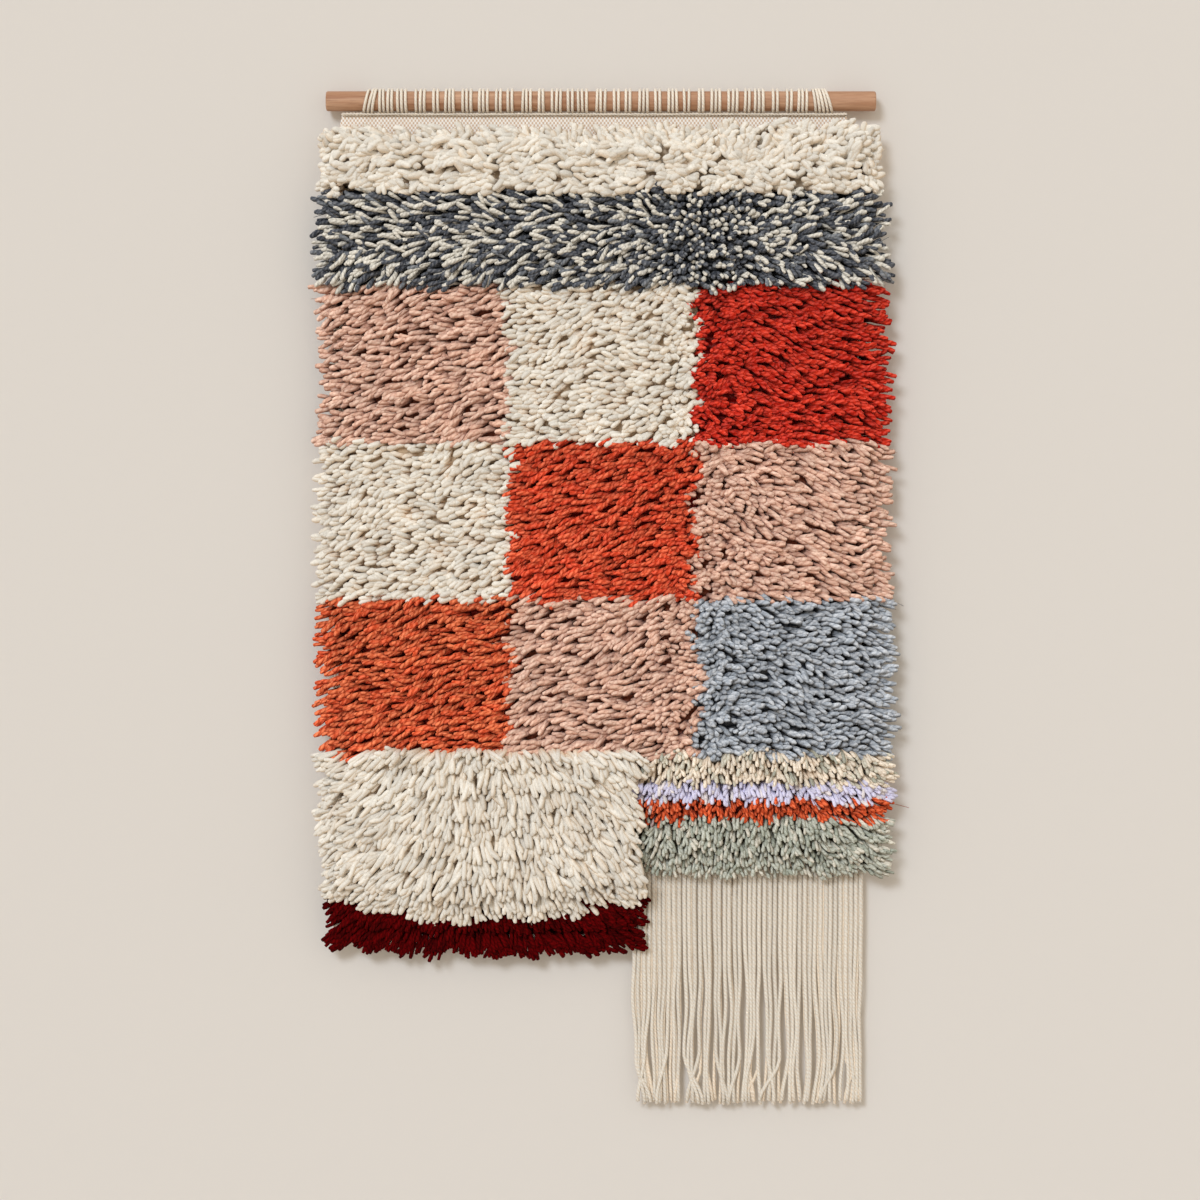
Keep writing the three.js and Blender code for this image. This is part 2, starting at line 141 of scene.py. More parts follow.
def tubes(paths, widths, bend, sides, flat=1.0, tipLift=0.6):
    # Round yarns along paths (strands x stations x 3), each closed by a pole at its root and its tip.
    # A ring is the path plus width times (across cos a + flat second sin a), where across is the bend
    # axis made square to the path, and second is square to both.
    rootLift = 0.3
    strands, stations = paths.shape[:2]
    tangent = unit(np.gradient(paths, axis=1))
    bend = np.broadcast_to(bend, (strands, 3))[:, None]
    across = unit(bend - (bend * tangent).sum(-1, keepdims=True) * tangent)
    second = np.cross(tangent, across)
    angle = math.tau * np.arange(sides) / sides
    cos, sin = np.cos(angle)[:, None], np.sin(angle)[:, None]
    ring = across[:, :, None] * cos + second[:, :, None] * sin * flat
    rings = paths[:, :, None] + widths[:, :, None, None] * ring
    root = paths[:, :1] - tangent[:, :1] * widths[:, :1, None] * rootLift
    tip = paths[:, -1:] + tangent[:, -1:] * widths[:, -1:, None] * tipLift
    points = np.concatenate([rings.reshape(strands, -1, 3), root, tip], axis=1)

    quads, fans = tubeFaces(stations, sides)
    first = (points.shape[1] * np.arange(strands))[:, None, None]
    faces = [(first + quads).reshape(-1, 4), (first + fans).reshape(-1, 3)]

    # the map runs once round the yarn in u, and in millimetres along it in v
    run = np.linalg.norm(np.diff(paths, axis=1), axis=2)
    run = np.concatenate([np.zeros((strands, 1)), np.cumsum(run, axis=1)], axis=1)
    u0, u1 = np.arange(sides) / sides, np.arange(1, sides + 1) / sides
    low, high = run[:, :-1, None], run[:, 1:, None]
    blank = np.zeros((strands, stations - 1, sides))
    places = (u0, low), (u1, low), (u1, high), (u0, high)
    corners = [np.stack([blank + u, blank + v], -1) for u, v in places]
    ends = np.stack([run[:, 0], run[:, -1]], axis=1)
    fanU = np.broadcast_to(np.stack([u1, u0, (u0 + u1) / 2], -1), (strands, 2, sides, 3)).copy()
    fanU[:, 1, :, :2] = fanU[:, 1, :, 1::-1]
    fanV = np.broadcast_to(ends[:, :, None, None], fanU.shape)
    uv = np.concatenate([np.stack(corners, axis=3).reshape(-1, 2), np.stack([fanU, fanV], -1).reshape(-1, 2)])
    return points, faces, uv, np.ones(points.shape[:2])


def together(parts):
    # joins parts, each what tubes gives and the tones of its strands, into one mesh's arrays, quads first
    offset = 0
    points, quads, fans, quadUv, fanUv, rises, tones = ([] for _ in range(7))
    for (p, faces, uv, rise), tone in parts:
        points.append(p.reshape(-1, 3))
        quads.append(faces[0] + offset)
        fans.append(faces[1] + offset)
        quadUv.append(uv[:faces[0].size])
        fanUv.append(uv[faces[0].size:])
        rises.append(rise.reshape(-1))
        tones.append(np.broadcast_to(tone[:, None], (*p.shape[:2], 3)).reshape(-1, 3))
        offset += len(points[-1])
    return dict(points=np.concatenate(points), faces=[np.concatenate(quads), np.concatenate(fans)],
                uv=np.concatenate(quadUv + fanUv), rise=np.concatenate(rises), tone=np.concatenate(tones))


# Shader nodes. The group puts out a colour and a height; the shaders stay in the materials.


def feed(tree, socket, value):
    # links a socket to another one, or sets it to a number, a vector or a colour of three numbers
    if isinstance(value, bpy.types.NodeSocket):
        tree.links.new(value, socket)
    elif socket.type == "RGBA":
        socket.default_value = (*value, 1)
    else:
        socket.default_value = value


def addNode(tree, kind, inputs=None, **settings):
    # inputs go by the sockets' names or numbers
    node = tree.nodes.new("ShaderNode" + kind)
    for name, value in settings.items():
        setattr(node, name, value)
    for key, value in (inputs or {}).items():
        feed(tree, node.inputs[key], value)
    return node


def mathNode(tree, operation, *values, clamp=False):
    return addNode(tree, "Math", dict(enumerate(values)), operation=operation, use_clamp=clamp).outputs[0]


def mixNode(tree, factor, a, b, blend="MIX"):
    # the colour inputs of a mix node are numbers 6 and 7, and its colour output is number 2
    inputs = {0: factor, 6: a, 7: b}
    return addNode(tree, "Mix", inputs, data_type="RGBA", blend_type=blend).outputs[2]


def rangeNode(tree, value, low, high, toLow, toHigh):
    labels = ("Value", "From Min", "From Max", "To Min", "To Max")
    return addNode(tree, "MapRange", dict(zip(labels, (value, low, high, toLow, toHigh)))).outputs["Result"]


def noiseNode(tree, vector, scale, detail, rough):
    inputs = {"Vector": vector, "Scale": scale, "Detail": detail, "Roughness": rough}
    return addNode(tree, "TexNoise", inputs).outputs["Fac"]


def stretched(tree, vector, scale):
    return addNode(tree, "Mapping", {"Vector": vector, "Scale": scale}).outputs["Vector"]


def objectPlace(tree):
    return addNode(tree, "TexCoord").outputs["Object"]


# Noises are scale, detail and roughness. Ranges are the lowest and highest value and what they become.
# The furrow and the root band set where painted shade falls, and the last three a painted highlight on the
# ply crests.
yarnLook = dict(
    plies=2, lumps=(160, 1, 0.5), lumpHeight=2, fuzz=(620, 3, 0.6), streaks=(1, 3, 0.65),
    streakStretch=(9, 0.22, 1), furrowShade=0.6, mottle=(0.32, 0.68, -0.24, 0.2),
    streakShade=(0.3, 0.7, 0.88, 1.1), rootShadeBand=0.55, glintFuzz=(0.4, 0.65, 0.2, 1),
    glintCrest=(0.5, 1, 0, 1), glintTone=(1.0, 0.95, 0.9),
)


def makeYarnGroup():
    # Spun yarn: plies wind round it as diagonal ridges, a cosine of plies times u plus v over the
    # pitch, and fine fibres streak along it. Painted shade darkens its roots, its furrows and its side at
    # u nought, and a painted highlight lightens the crests of its plies.
    look = yarnLook
    group = bpy.data.node_groups.new("spun yarn", "ShaderNodeTree")
    numbers = ("Rise", "Pitch", "Ply Depth", "Fibre Depth", "Deep", "Frost", "Under")
    inputs = dict(Map="Vector", Place="Vector", Tone="Color", Shade="Color")
    inputs.update(dict.fromkeys(numbers, "Float"))
    for direction, sockets in (("INPUT", inputs), ("OUTPUT", dict(Colour="Color", Height="Float"))):
        for label, kind in sockets.items():
            group.interface.new_socket(name=label, in_out=direction, socket_type="NodeSocket" + kind)
    given = group.nodes.new("NodeGroupInput").outputs
    leave = group.nodes.new("NodeGroupOutput").inputs

    def times(a, b):
        return mathNode(group, "MULTIPLY", a, b)

    def plus(a, b):
        return mathNode(group, "ADD", a, b)

    u, v, _ = addNode(group, "SeparateXYZ", {0: given["Map"]}).outputs
    uneven = noiseNode(group, given["Place"], *look["lumps"])
    turns = plus(plus(times(u, look["plies"]), mathNode(group, "DIVIDE", v, given["Pitch"])), uneven)
    wave = mathNode(group, "COSINE", times(turns, math.tau))
    crest = mathNode(group, "SQRT", mathNode(group, "MULTIPLY_ADD", wave, 0.5, 0.5))
    ridge = times(crest, given["Ply Depth"])
    streaks = noiseNode(group, stretched(group, given["Map"], look["streakStretch"]), *look["streaks"])
    fuzz = noiseNode(group, given["Place"], *look["fuzz"])
    fibre = times(plus(streaks, fuzz), given["Fibre Depth"])
    lumps = times(times(uneven, given["Fibre Depth"]), look["lumpHeight"])
    feed(group, leave["Height"], plus(plus(ridge, fibre), lumps))

    shade = given["Shade"]
    # painted shade in the furrows between the plies
    furrowShade = times(mathNode(group, "SUBTRACT", given["Ply Depth"], ridge, clamp=True), look["furrowShade"])
    colour = mixNode(group, furrowShade, given["Tone"], shade, "MULTIPLY")
    mottle = times(rangeNode(group, fuzz, *look["mottle"]), given["Fibre Depth"])
    streakShade = plus(rangeNode(group, streaks, *look["streakShade"]), mottle)
    colour = mixNode(group, 1.0, colour, streakShade, "MULTIPLY")
    # a painted highlight: the crests of the plies are mixed towards a pale tone, more where the fuzz is high
    frost = times(rangeNode(group, fuzz, *look["glintFuzz"]), given["Frost"])
    frost = times(rangeNode(group, crest, *look["glintCrest"]), frost)
    colour = mixNode(group, frost, colour, look["glintTone"])
    # painted shade on the side at u nought, which faces away from the light
    under = times(mathNode(group, "COSINE", times(u, math.tau), clamp=True), given["Under"])
    colour = mixNode(group, under, colour, shade, "MULTIPLY")
    # painted shade at the roots: the lower a point stands in the pile, the more the shade is multiplied in,
    # twice over
    bandEnd = mathNode(group, "SUBTRACT", given["Deep"], look["rootShadeBand"])
    depth = rangeNode(group, given["Rise"], bandEnd, given["Deep"], 1.0, 0.0)
    rootShade = mixNode(group, 1.0, shade, shade, "MULTIPLY")
    feed(group, leave["Colour"], mixNode(group, depth, colour, rootShade, "MULTIPLY"))
    return group


yarnGroup = makeYarnGroup()


def newMaterial(name, roughness, specular, sheen=0.0):
    material = bpy.data.materials.new(name)
    material.use_nodes = True
    shader = material.node_tree.nodes["Principled BSDF"]
    for label, value in (("Roughness", roughness), ("Specular IOR Level", specular), ("Sheen Weight", sheen)):
        shader.inputs[label].default_value = value
    return material, material.node_tree, shader


def dress(tree, shader, colour, height, distance):
    # gives a shader its colour, and bumps of the height times the distance in millimetres
    bump = addNode(tree, "Bump", {"Height": height, "Distance": distance * metre})
    feed(tree, shader.inputs["Base Color"], colour)
    feed(tree, shader.inputs["Normal"], bump.outputs["Normal"])


def yarnMaterial(name, look):
    # a yarn whose colour is in its mesh, with the look's shade multiplied in as painted shade at its roots,
    # its furrows and its side away from the light, and a painted highlight on its ply crests
    material, tree, shader = newMaterial(name, 0.9, 0.05, look["sheen"])
    inputs = {
        "Map": addNode(tree, "UVMap", uv_map="yarnMap").outputs[0],
        "Place": objectPlace(tree),
        "Tone": addNode(tree, "Attribute", attribute_name="yarnTone").outputs["Color"],
        "Rise": addNode(tree, "Attribute", attribute_name="rise").outputs["Fac"],
        "Shade": look["shade"],
        "Ply Depth": look["plyDepth"],
        "Fibre Depth": look["fibreDepth"],
        **{label.title(): look[label] for label in ("pitch", "deep", "frost", "under")},
    }
    yarn = addNode(tree, "Group", node_tree=yarnGroup)
    for label, value in inputs.items():
        feed(tree, yarn.inputs[label], value)
    dress(tree, shader, yarn.outputs["Colour"], yarn.outputs["Height"], look["bump"])
    return material


def table(labels, rows):
    # a table's rows as dictionaries by its labels
    return {key: dict(zip(labels.split(), row)) for key, row in rows.items()}


# Pitch and bump are millimetres. Shade is the colour of painted shade, and deep is the share of a
# strand's rise up to which painted shade darkens it. The column after sheen is a painted highlight on the
# ply crests, and under is how strongly painted shade darkens the side away from the light.
looks = table("shade deep pitch plyDepth fibreDepth bump sheen frost under", dict(
    cord=((0.93, 0.77, 0.6), 0.5, 4.4, 0.8, 0.2, 0.5, 0.2, 0, 0.1),
    cream=((0.96, 0.78, 0.6), 1.0, 5.2, 0, 0.35, 0.6, 0.1, 0, 0.5),
    downy=((1.0, 0.85, 0.7), 0.95, 5.2, 0, 0.3, 0.5, 0.1, 0, 0.6),
    tweed=((0.2, 0.21, 0.23), 1.05, 5.5, 0.6, 0.6, 0.7, 0.05, 0.12, 0.35),
    pink=((0.42, 0.17, 0.11), 1.1, 9, 0.6, 0.5, 0.9, 0.1, 0.05, 0.5),
    rust=((0.42, 0.06, 0.04), 1.12, 8, 1, 0.4, 1.2, 0.03, 0.06, 0.5),
    blue=((0.1, 0.11, 0.14), 1.12, 8, 0.6, 0.7, 0.9, 0.1, 0.2, 0.5),
    mixed=((0.7, 0.56, 0.4), 1.02, 5.2, 0.5, 0.5, 0.7, 0.1, 0, 0.25),
    lilac=((0.78, 0.74, 0.86), 0.95, 5.2, 0.5, 0.5, 0.7, 0.1, 0, 0.2),
    sage=((0.48, 0.44, 0.34), 1.02, 5.2, 0.5, 0.6, 0.7, 0.1, 0.1, 0.3),
    burgundy=((0.35, 0.06, 0.06), 1.02, 6, 1, 0.3, 1, 0, 0, 0.4),
))
yarnMaterials = {key: yarnMaterial(key + " yarn", look) for key, look in looks.items()}

# Dowel: a turned rod with softly rounded ends and grain along it

dowel = dict(length=610, radius=11, endRound=2.2, endSteps=7, faceShare=0.5, sides=48, stations=26)


def dowelShape():
    # A circle of the profile's radius about X. The profile is straight, with a quarter circle at each end.
    c = dowel
    end, edge, sides = c["length"] / 2, c["endRound"], c["sides"]
    face = c["radius"] - edge
    turn = np.linspace(0, math.pi / 2, c["endSteps"])
    capX = np.concatenate([[end], end - edge + edge * np.cos(turn)])
    capR = np.concatenate([[face * c["faceShare"]], face + edge * np.sin(turn)])
    middle = np.linspace(-end + edge, end - edge, c["stations"])[1:-1]
    x = np.concatenate([-capX, middle, capX[::-1]])
    radius = np.concatenate([capR, np.full(len(middle), c["radius"]), capR[::-1]])
    angle = math.tau * np.arange(sides) / sides
    ring = np.stack([np.zeros_like(angle), np.cos(angle), np.sin(angle)], -1)
    body = x[:, None, None] * np.array(alongX) + radius[:, None, None] * ring
    points = np.concatenate([body.reshape(-1, 3), [[-end, 0, 0], [end, 0, 0]]])
    return points, tubeFaces(len(x), sides)


def woodMaterial():
    material, tree, shader = newMaterial("bare wood", 0.5, 0.35)
    place = objectPlace(tree)
    grain = noiseNode(tree, stretched(tree, place, (3, 55, 55)), 3.0, 5.0, 0.62)
    fine = noiseNode(tree, stretched(tree, place, (22, 420, 420)), 2.0, 3.0, 0.6)
    cloud = noiseNode(tree, stretched(tree, place, (5, 20, 20)), 2.0, 2.0, 0.5)
    colour = toLinear((158, 112, 80))
    for noise, *between, tone in (
        (grain, 0.35, 0.65, 0, 1, (203, 163, 132)),
        (cloud, 0.35, 0.7, 0, 0.45, (176, 127, 95)),
        (fine, 0.52, 0.72, 0, 0.5, (128, 86, 59)),
    ):
        colour = mixNode(tree, rangeNode(tree, noise, *between), colour, toLinear(tone))
    feed(tree, shader.inputs["Roughness"], rangeNode(tree, fine, 0.3, 0.7, 0.42, 0.62))
    dress(tree, shader, colour, mathNode(tree, "ADD", grain, fine), 0.12)
    return material


points, faces = dowelShape()
putMesh("turned_dowel", points, faces, woodMaterial(), "wood", ["dowel"])

# Ecru cords: the warp loops over the dowel, the twined edging under it, and the fringe

ecruTone = toLinear((242, 234, 220))

loops = dict(
    left=-263, right=256, radius=12.65, looser=0.35, tighter=0.1, halfWidth=1.62, start=16,
    stations=20, sides=6,
    groups=(3, 4, 3, 3, 2, 3, 3, 3, 2, 2, 3, 2, 3, 2, 3, 3, 2, 2, 3, 2, 3, 2, 2, 3, 3, 2, 3, 2, 2, 3, 5),
    gaps=(8.0, 7.2, 5.4, 9.0, 8.6, 6.6, 8.4, 7.4, 7.9, 6.9, 9.2, 7.6), step=3.55,
    leftSlant=6.5, leftSlanted=11, leftFade=3, rightSlant=8.0, rightFade=28, stray=0.5,
)


def loopCords():
    # One ring of cord each: a circle about the dowel from just behind straight down and back there.
    # Its top is slid sideways in the end groups, as the square of the sine of half the angle.
    c = loops
    steps = []
    for k, size in enumerate(c["groups"]):
        steps += [c["gaps"][k % len(c["gaps"])]] + [c["step"]] * (size - 1)
    x = np.cumsum(steps)
    x = c["left"] + (c["right"] - c["left"]) * (x - x[0]) / (x[-1] - x[0])
    angle = np.radians(np.linspace(360 - c["start"], c["start"], c["stations"]))
    fromLeft = smooth((c["leftSlanted"] - (x - c["left"])) / c["leftFade"])
    fromRight = np.clip(1 - (c["right"] - x) / c["rightFade"], 0, 1)
    slide = c["leftSlant"] * fromLeft - c["rightSlant"] * fromRight + rng.normal(0, c["stray"], len(x))
    radius = c["radius"] + rng.uniform(-c["tighter"], c["looser"], len(x))[:, None]
    across = x[:, None] + slide[:, None] * np.sin(angle / 2) ** 2
    path = np.stack([across, -radius * np.sin(angle), -radius * np.cos(angle)], -1)
    widths = np.full(path.shape[:2], c["halfWidth"]) * rng.uniform(0.92, 1.06, len(x))[:, None]
    tone = ecruTone * rng.uniform(0.93, 1.03, (len(x), 1))
    return tubes(path, widths, alongX, c["sides"], tipLift=0.1), tone


edging = dict(
    left=-287.5, right=272.5, z=-14.8, frontY=-2.6, backY=0.6, pitch=7.6, wind=0.9, halfWidth=1.15,
    sag=0.12, sags=3, perTurn=6, sides=5, tones=(0.9, 0.98),
)


def edgingCords():
    # Twined rows: in each, two cords wind round a line along X, half a turn apart.
    c = edging
    length = c["right"] - c["left"]
    turns = length / c["pitch"]
    t = np.linspace(0, 1, int(turns * c["perTurn"]))
    z = c["z"] + c["sag"] * np.sin(math.tau * c["sags"] * t)
    parts = []
    for y, hand in ((c["frontY"], 1), (c["backY"], -1)):
        for half, tone in enumerate(c["tones"]):
            a = hand * math.tau * turns * t + half * math.pi
            path = [c["left"] + length * t, y + c["wind"] * np.cos(a), z + c["wind"] * np.sin(a)]
            path = np.stack(path, -1)
            widths = np.full((1, len(t)), c["halfWidth"])
            parts.append((tubes(path[None], widths, alongZ, c["sides"]), ecruTone[None] * tone))
    return parts


cords = together([loopCords(), *edgingCords()])
putMesh("warp_cords", **cords, material=yarnMaterials["cord"], slot="ecru_cord", nodes=["warp_loops"])

# The fringe repeats the solids' wave.

fringe = dict(
    left=34, right=291, top=-850.5, bottom=-1108.5, bottomSpread=5,
    waveLength=190, waveLag=0.6, wave=1.6, swayFrom=0.3, stray=1.5, strayLength=120,
    groups=13, unevenGroup=(0.55, 1.45), drawnFrom=(0.12, 0.5), drawnTo=0.82, pull=(0.12, 0.3),
    wrongGroup=1.2, turnsAt=(0.74, 0.88), crossedShare=0.3, crossedTo=-0.9, straightTo=1.02,
    crossedLift=-2.2, lift=(-1.2, 0.4), thinner=0.2,
    layers=(
        dict(count=46, y=2.1, inset=2.5, halfWidth=2.6, tone=(227, 221, 209), stations=30, sides=6),
        # painted shade: the back layer is the same ecru cord, given a warmer tone for the warm shade between
        # the front cords
        dict(count=46, y=4.2, inset=5.2, halfWidth=2.5, tone=(238, 225, 206), stations=24, sides=5),
    ),
    strip=dict(y=3.9, z=-853.25, halfWidth=2.7, flat=1.4, stations=60, sides=8, tone=0.9),
)


def fringeCords():
    # Groups of uneven widths draw together, each from a height of its own. Past four fifths of the
    # way down a cord turns out to its own place again, or over to the other side of its group.
    c = fringe
    parts = []
    edges = np.concatenate([[0], np.cumsum(rng.uniform(*c["unevenGroup"], c["groups"]))])
    edges = c["left"] + (c["right"] - c["left"]) * edges / edges[-1]
    starts = rng.uniform(*c["drawnFrom"], c["groups"])
    pulls = rng.uniform(*c["pull"], c["groups"])
    for layer in c["layers"]:
        n = layer["count"]
        x = np.linspace(c["left"] + layer["inset"], c["right"] - layer["inset"], n) + rng.normal(0, 0.35, n)
        end = c["bottom"] - c["bottomSpread"] * rng.random(n)
        t = np.linspace(0, 1, layer["stations"])
        z = c["top"] + (end[:, None] - c["top"]) * t
        wave = c["wave"] * np.sin(math.tau * (z + c["waveLag"] * x[:, None]) / c["waveLength"])
        stray = c["stray"] * drift(x[:, None] * 9, z, c["strayLength"], 5) * smooth((t - 0.2) / 0.5)
        nearest = np.searchsorted(edges, x + rng.normal(0, c["wrongGroup"], n)) - 1
        group = np.clip(nearest, 0, c["groups"] - 1)
        offset = (x - (edges[group] + edges[group + 1]) / 2)[:, None]
        start, pull = starts[group][:, None], pulls[group][:, None]
        crossed = rng.random((n, 1)) < c["crossedShare"]
        turnsAt = rng.uniform(*c["turnsAt"], (n, 1))
        draw = -offset * pull * smooth((t - start) / (c["drawnTo"] - start))
        target = np.where(crossed, c["crossedTo"], c["straightTo"])
        fan = offset * (target - 1 + pull) * smooth((t - turnsAt) / (1 - turnsAt))
        sway = np.maximum(0, t - c["swayFrom"]) * np.sin(math.tau * z / c["waveLength"])
        lift = np.where(crossed, c["crossedLift"], rng.uniform(*c["lift"], (n, 1)))
        lift = lift * smooth((t - 0.7) / 0.25)
        path = np.stack([x[:, None] + t * wave + stray + draw + fan, layer["y"] + sway + lift, z], -1)
        widths = np.full(z.shape, layer["halfWidth"]) * rng.uniform(0.93, 1.06, z.shape)
        widths = widths * (1 - c["thinner"] * smooth((t - 0.15) / 0.6))
        tone = toLinear(layer["tone"]) * rng.uniform(0.94, 1.03, (n, 1))
        parts.append((tubes(path, widths, alongX, layer["sides"], tipLift=0.5), tone))
    strip = c["strip"]
    across = np.linspace(c["left"], c["right"], strip["stations"])
    path = np.stack([across, np.full_like(across, strip["y"]), np.full_like(across, strip["z"])], -1)
    widths = np.full((1, len(across)), strip["halfWidth"])
    band = tubes(path[None], widths, alongZ, strip["sides"], flat=strip["flat"], tipLift=0.0)
    return [*parts, (band, ecruTone[None] * strip["tone"])]


cords = together(fringeCords())
putMesh("fringe_cords", **cords, material=yarnMaterials["cord"], slot="ecru_cord", nodes=["fringe"])

# Ground cloth: a plain weave, with its over and under in the mesh where the heading shows

cloth = dict(
    top=-15.8, headingLeft=-288, headingRight=273, headingFlare=3, headingEnd=-31, shoulder=-62,
    left=-298, right=296, step=32, leftHem=-935, rightHem=-850, drawnIn=0.6, inset=0.3,
    back=2.8, front=0.25, backEdge=0.9, frontEdge=0.7, columns=44, rowStep=5.2, stepGap=0.0004, flatStep=14,
    ridge=0.35, knotRow=20.8, slub=0.12, slubSize=30,
    weaveX=2.0, weaveZ=2.7, weaveHeight=0.24, headingRows=19, headingColumns=420, headingLow=-37,
    headingInset=0.5, headingDrop=0.4, headingDepth=1.2, headingProud=0.1,
)


def clothSides(z):
    c = cloth
    levels = [c["shoulder"], c["headingEnd"], c["top"]]
    left = np.interp(z, levels, [c["left"], c["headingLeft"] - c["headingFlare"], c["headingLeft"]])
    right = np.interp(z, levels, [c["right"], c["headingRight"] + c["headingFlare"], c["headingRight"]])
    draw = c["drawnIn"] * (1 + np.sin(z / 23.0) * np.sin(z / 61.0))
    woven = smooth((c["shoulder"] - z) / 20)
    return left + draw * woven + c["inset"], right - draw * woven - c["inset"]


def latticeFaces(shape):
    # the quads of a lattice of rows by columns, and its border's points in order
    lattice = np.arange(shape[0] * shape[1]).reshape(shape)
    corners = (lattice[:-1, :-1], lattice[1:, :-1], lattice[1:, 1:], lattice[:-1, 1:])
    rim = np.concatenate([lattice[:-1, 0], lattice[-1, :-1], lattice[:0:-1, -1], lattice[0, :0:-1]])
    return np.stack(corners, -1).reshape(-1, 4), rim


def closedSheet(x, z, front, back):
    # A closed sheet from two lattices of the same places, front and back, and a wall round their border.
    points = np.concatenate([np.stack([x, y, z], -1).reshape(-1, 3) for y in (front, back)])
    quads, rim = latticeFaces(x.shape)
    ahead = np.roll(rim, -1)
    wall = np.stack([ahead, rim, rim + x.size, ahead + x.size], -1)
    return points, np.concatenate([quads, quads[:, ::-1] + x.size, wall])


def shallowRelief(x, z, front, back):
    # A lattice with a flat back: its border is carried back by a wall, and one face closes it.
    points = np.stack([x, front, z], -1).reshape(-1, 3)
    quads, rim = latticeFaces(x.shape)
    behind = points[rim]
    behind[:, 1] = back
    own = x.size + np.arange(len(rim))
    wall = np.stack([np.roll(rim, -1), rim, own, np.roll(own, -1)], -1)
    return np.concatenate([points, behind]), np.concatenate([quads, wall]), own[::-1][None]


def clothShape():
    # Columns run from the left selvage to the right one. Those left of the step reach the lower hem.
    # The back carries low ridges where the rows of knots are beaten in.
    c = cloth
    rows = round((c["top"] - c["rightHem"]) / c["rowStep"])
    share = (c["step"] - c["left"]) / (c["right"] - c["left"])
    u = np.append(np.linspace(0, 1, c["columns"]), [share - c["stepGap"], share + c["stepGap"]])
    u = np.sort(u)
    bottom = np.where(u < share, c["leftHem"], c["rightHem"])
    z = c["top"] + (bottom - c["top"]) * np.linspace(0, 1, rows)[:, None]
    left, right = clothSides(z)
    x = left + (right - left) * u
    # The relief fades out at the step, where rows of unlike heights meet in a narrow column.
    relief = smooth(np.abs(x - c["step"]) / c["flatStep"])
    ridge = c["ridge"] * (0.5 + 0.5 * relief * np.cos(2 * math.tau * z / c["knotRow"]))
    slub = c["slub"] * drift(x, z, c["slubSize"], 3) * relief
    border = np.zeros_like(x, dtype=bool)
    border[[0, -1], :] = border[:, [0, -1]] = True
    back = np.where(border, c["back"] - c["backEdge"], c["back"] - c["ridge"] + ridge + slub * 0.5)
    front = np.where(border, c["front"] + c["frontEdge"], c["front"] + 0.12 * slub)
    points, quads = closedSheet(x, z, front, back)

    # the heading's weave: a cosine along the weft times a cosine along the warp
    z = np.linspace(c["top"] - c["headingDrop"], c["headingLow"], c["headingRows"])[:, None]
    z = z + np.zeros(c["headingColumns"])
    left, right = clothSides(z)
    inset = c["headingInset"]
    x = left + inset + (right - left - 2 * inset) * np.linspace(0, 1, c["headingColumns"])
    relief = np.cos(math.pi * x / c["weaveX"]) * np.cos(math.pi * z / c["weaveZ"]) * c["weaveHeight"]
    relief[[0, -1], :] = relief[:, [0, -1]] = -c["weaveHeight"]
    face = c["front"] - c["headingProud"] - relief
    facePoints, faceQuads, backFace = shallowRelief(x, z, face, c["front"] + c["headingDepth"])
    faces = [np.concatenate([quads, faceQuads + len(points)]), backFace + len(points)]
    return np.concatenate([points, facePoints]), faces


def clothMaterial():
    material, tree, shader = newMaterial("ecru weave", 0.92, 0.15, 0.05)
    place = objectPlace(tree)
    axes = addNode(tree, "SeparateXYZ", {0: place}).outputs
    waves = []
    for axis, pitch in ((axes[0], cloth["weaveX"]), (axes[2], cloth["weaveZ"])):
        turned = mathNode(tree, "MULTIPLY", axis, math.pi / (pitch * metre))
        waves.append(mathNode(tree, "COSINE", turned))
    # painted shade in the weave's hollows: where its threads go under, the colour is the darker tan
    over = rangeNode(tree, mathNode(tree, "MULTIPLY", *waves), -0.5, 0.3, 0, 1)
    fuzz = noiseNode(tree, place, 700, 3, 0.6)
    patchy = noiseNode(tree, place, 60, 3, 0.6)
    over = mathNode(tree, "MULTIPLY", over, rangeNode(tree, fuzz, 0.3, 0.7, 0.75, 1.15), clamp=True)
    colour = mixNode(tree, over, toLinear((212, 184, 157)), toLinear((255, 253, 246)))
    colour = mixNode(tree, rangeNode(tree, patchy, 0.5, 0.75, 0, 0.3), colour, toLinear((196, 170, 142)))
    height = mathNode(tree, "ADD", over, mathNode(tree, "MULTIPLY", fuzz, 0.4))
    dress(tree, shader, colour, height, 0.2)
    return material


points, faces = clothShape()
groundCloth = putMesh("woven_ground", points, faces, clothMaterial(), "ecru_weave", ["ground_cloth"])

# Pile. Each block is courses of strands, one strand to a tuft.

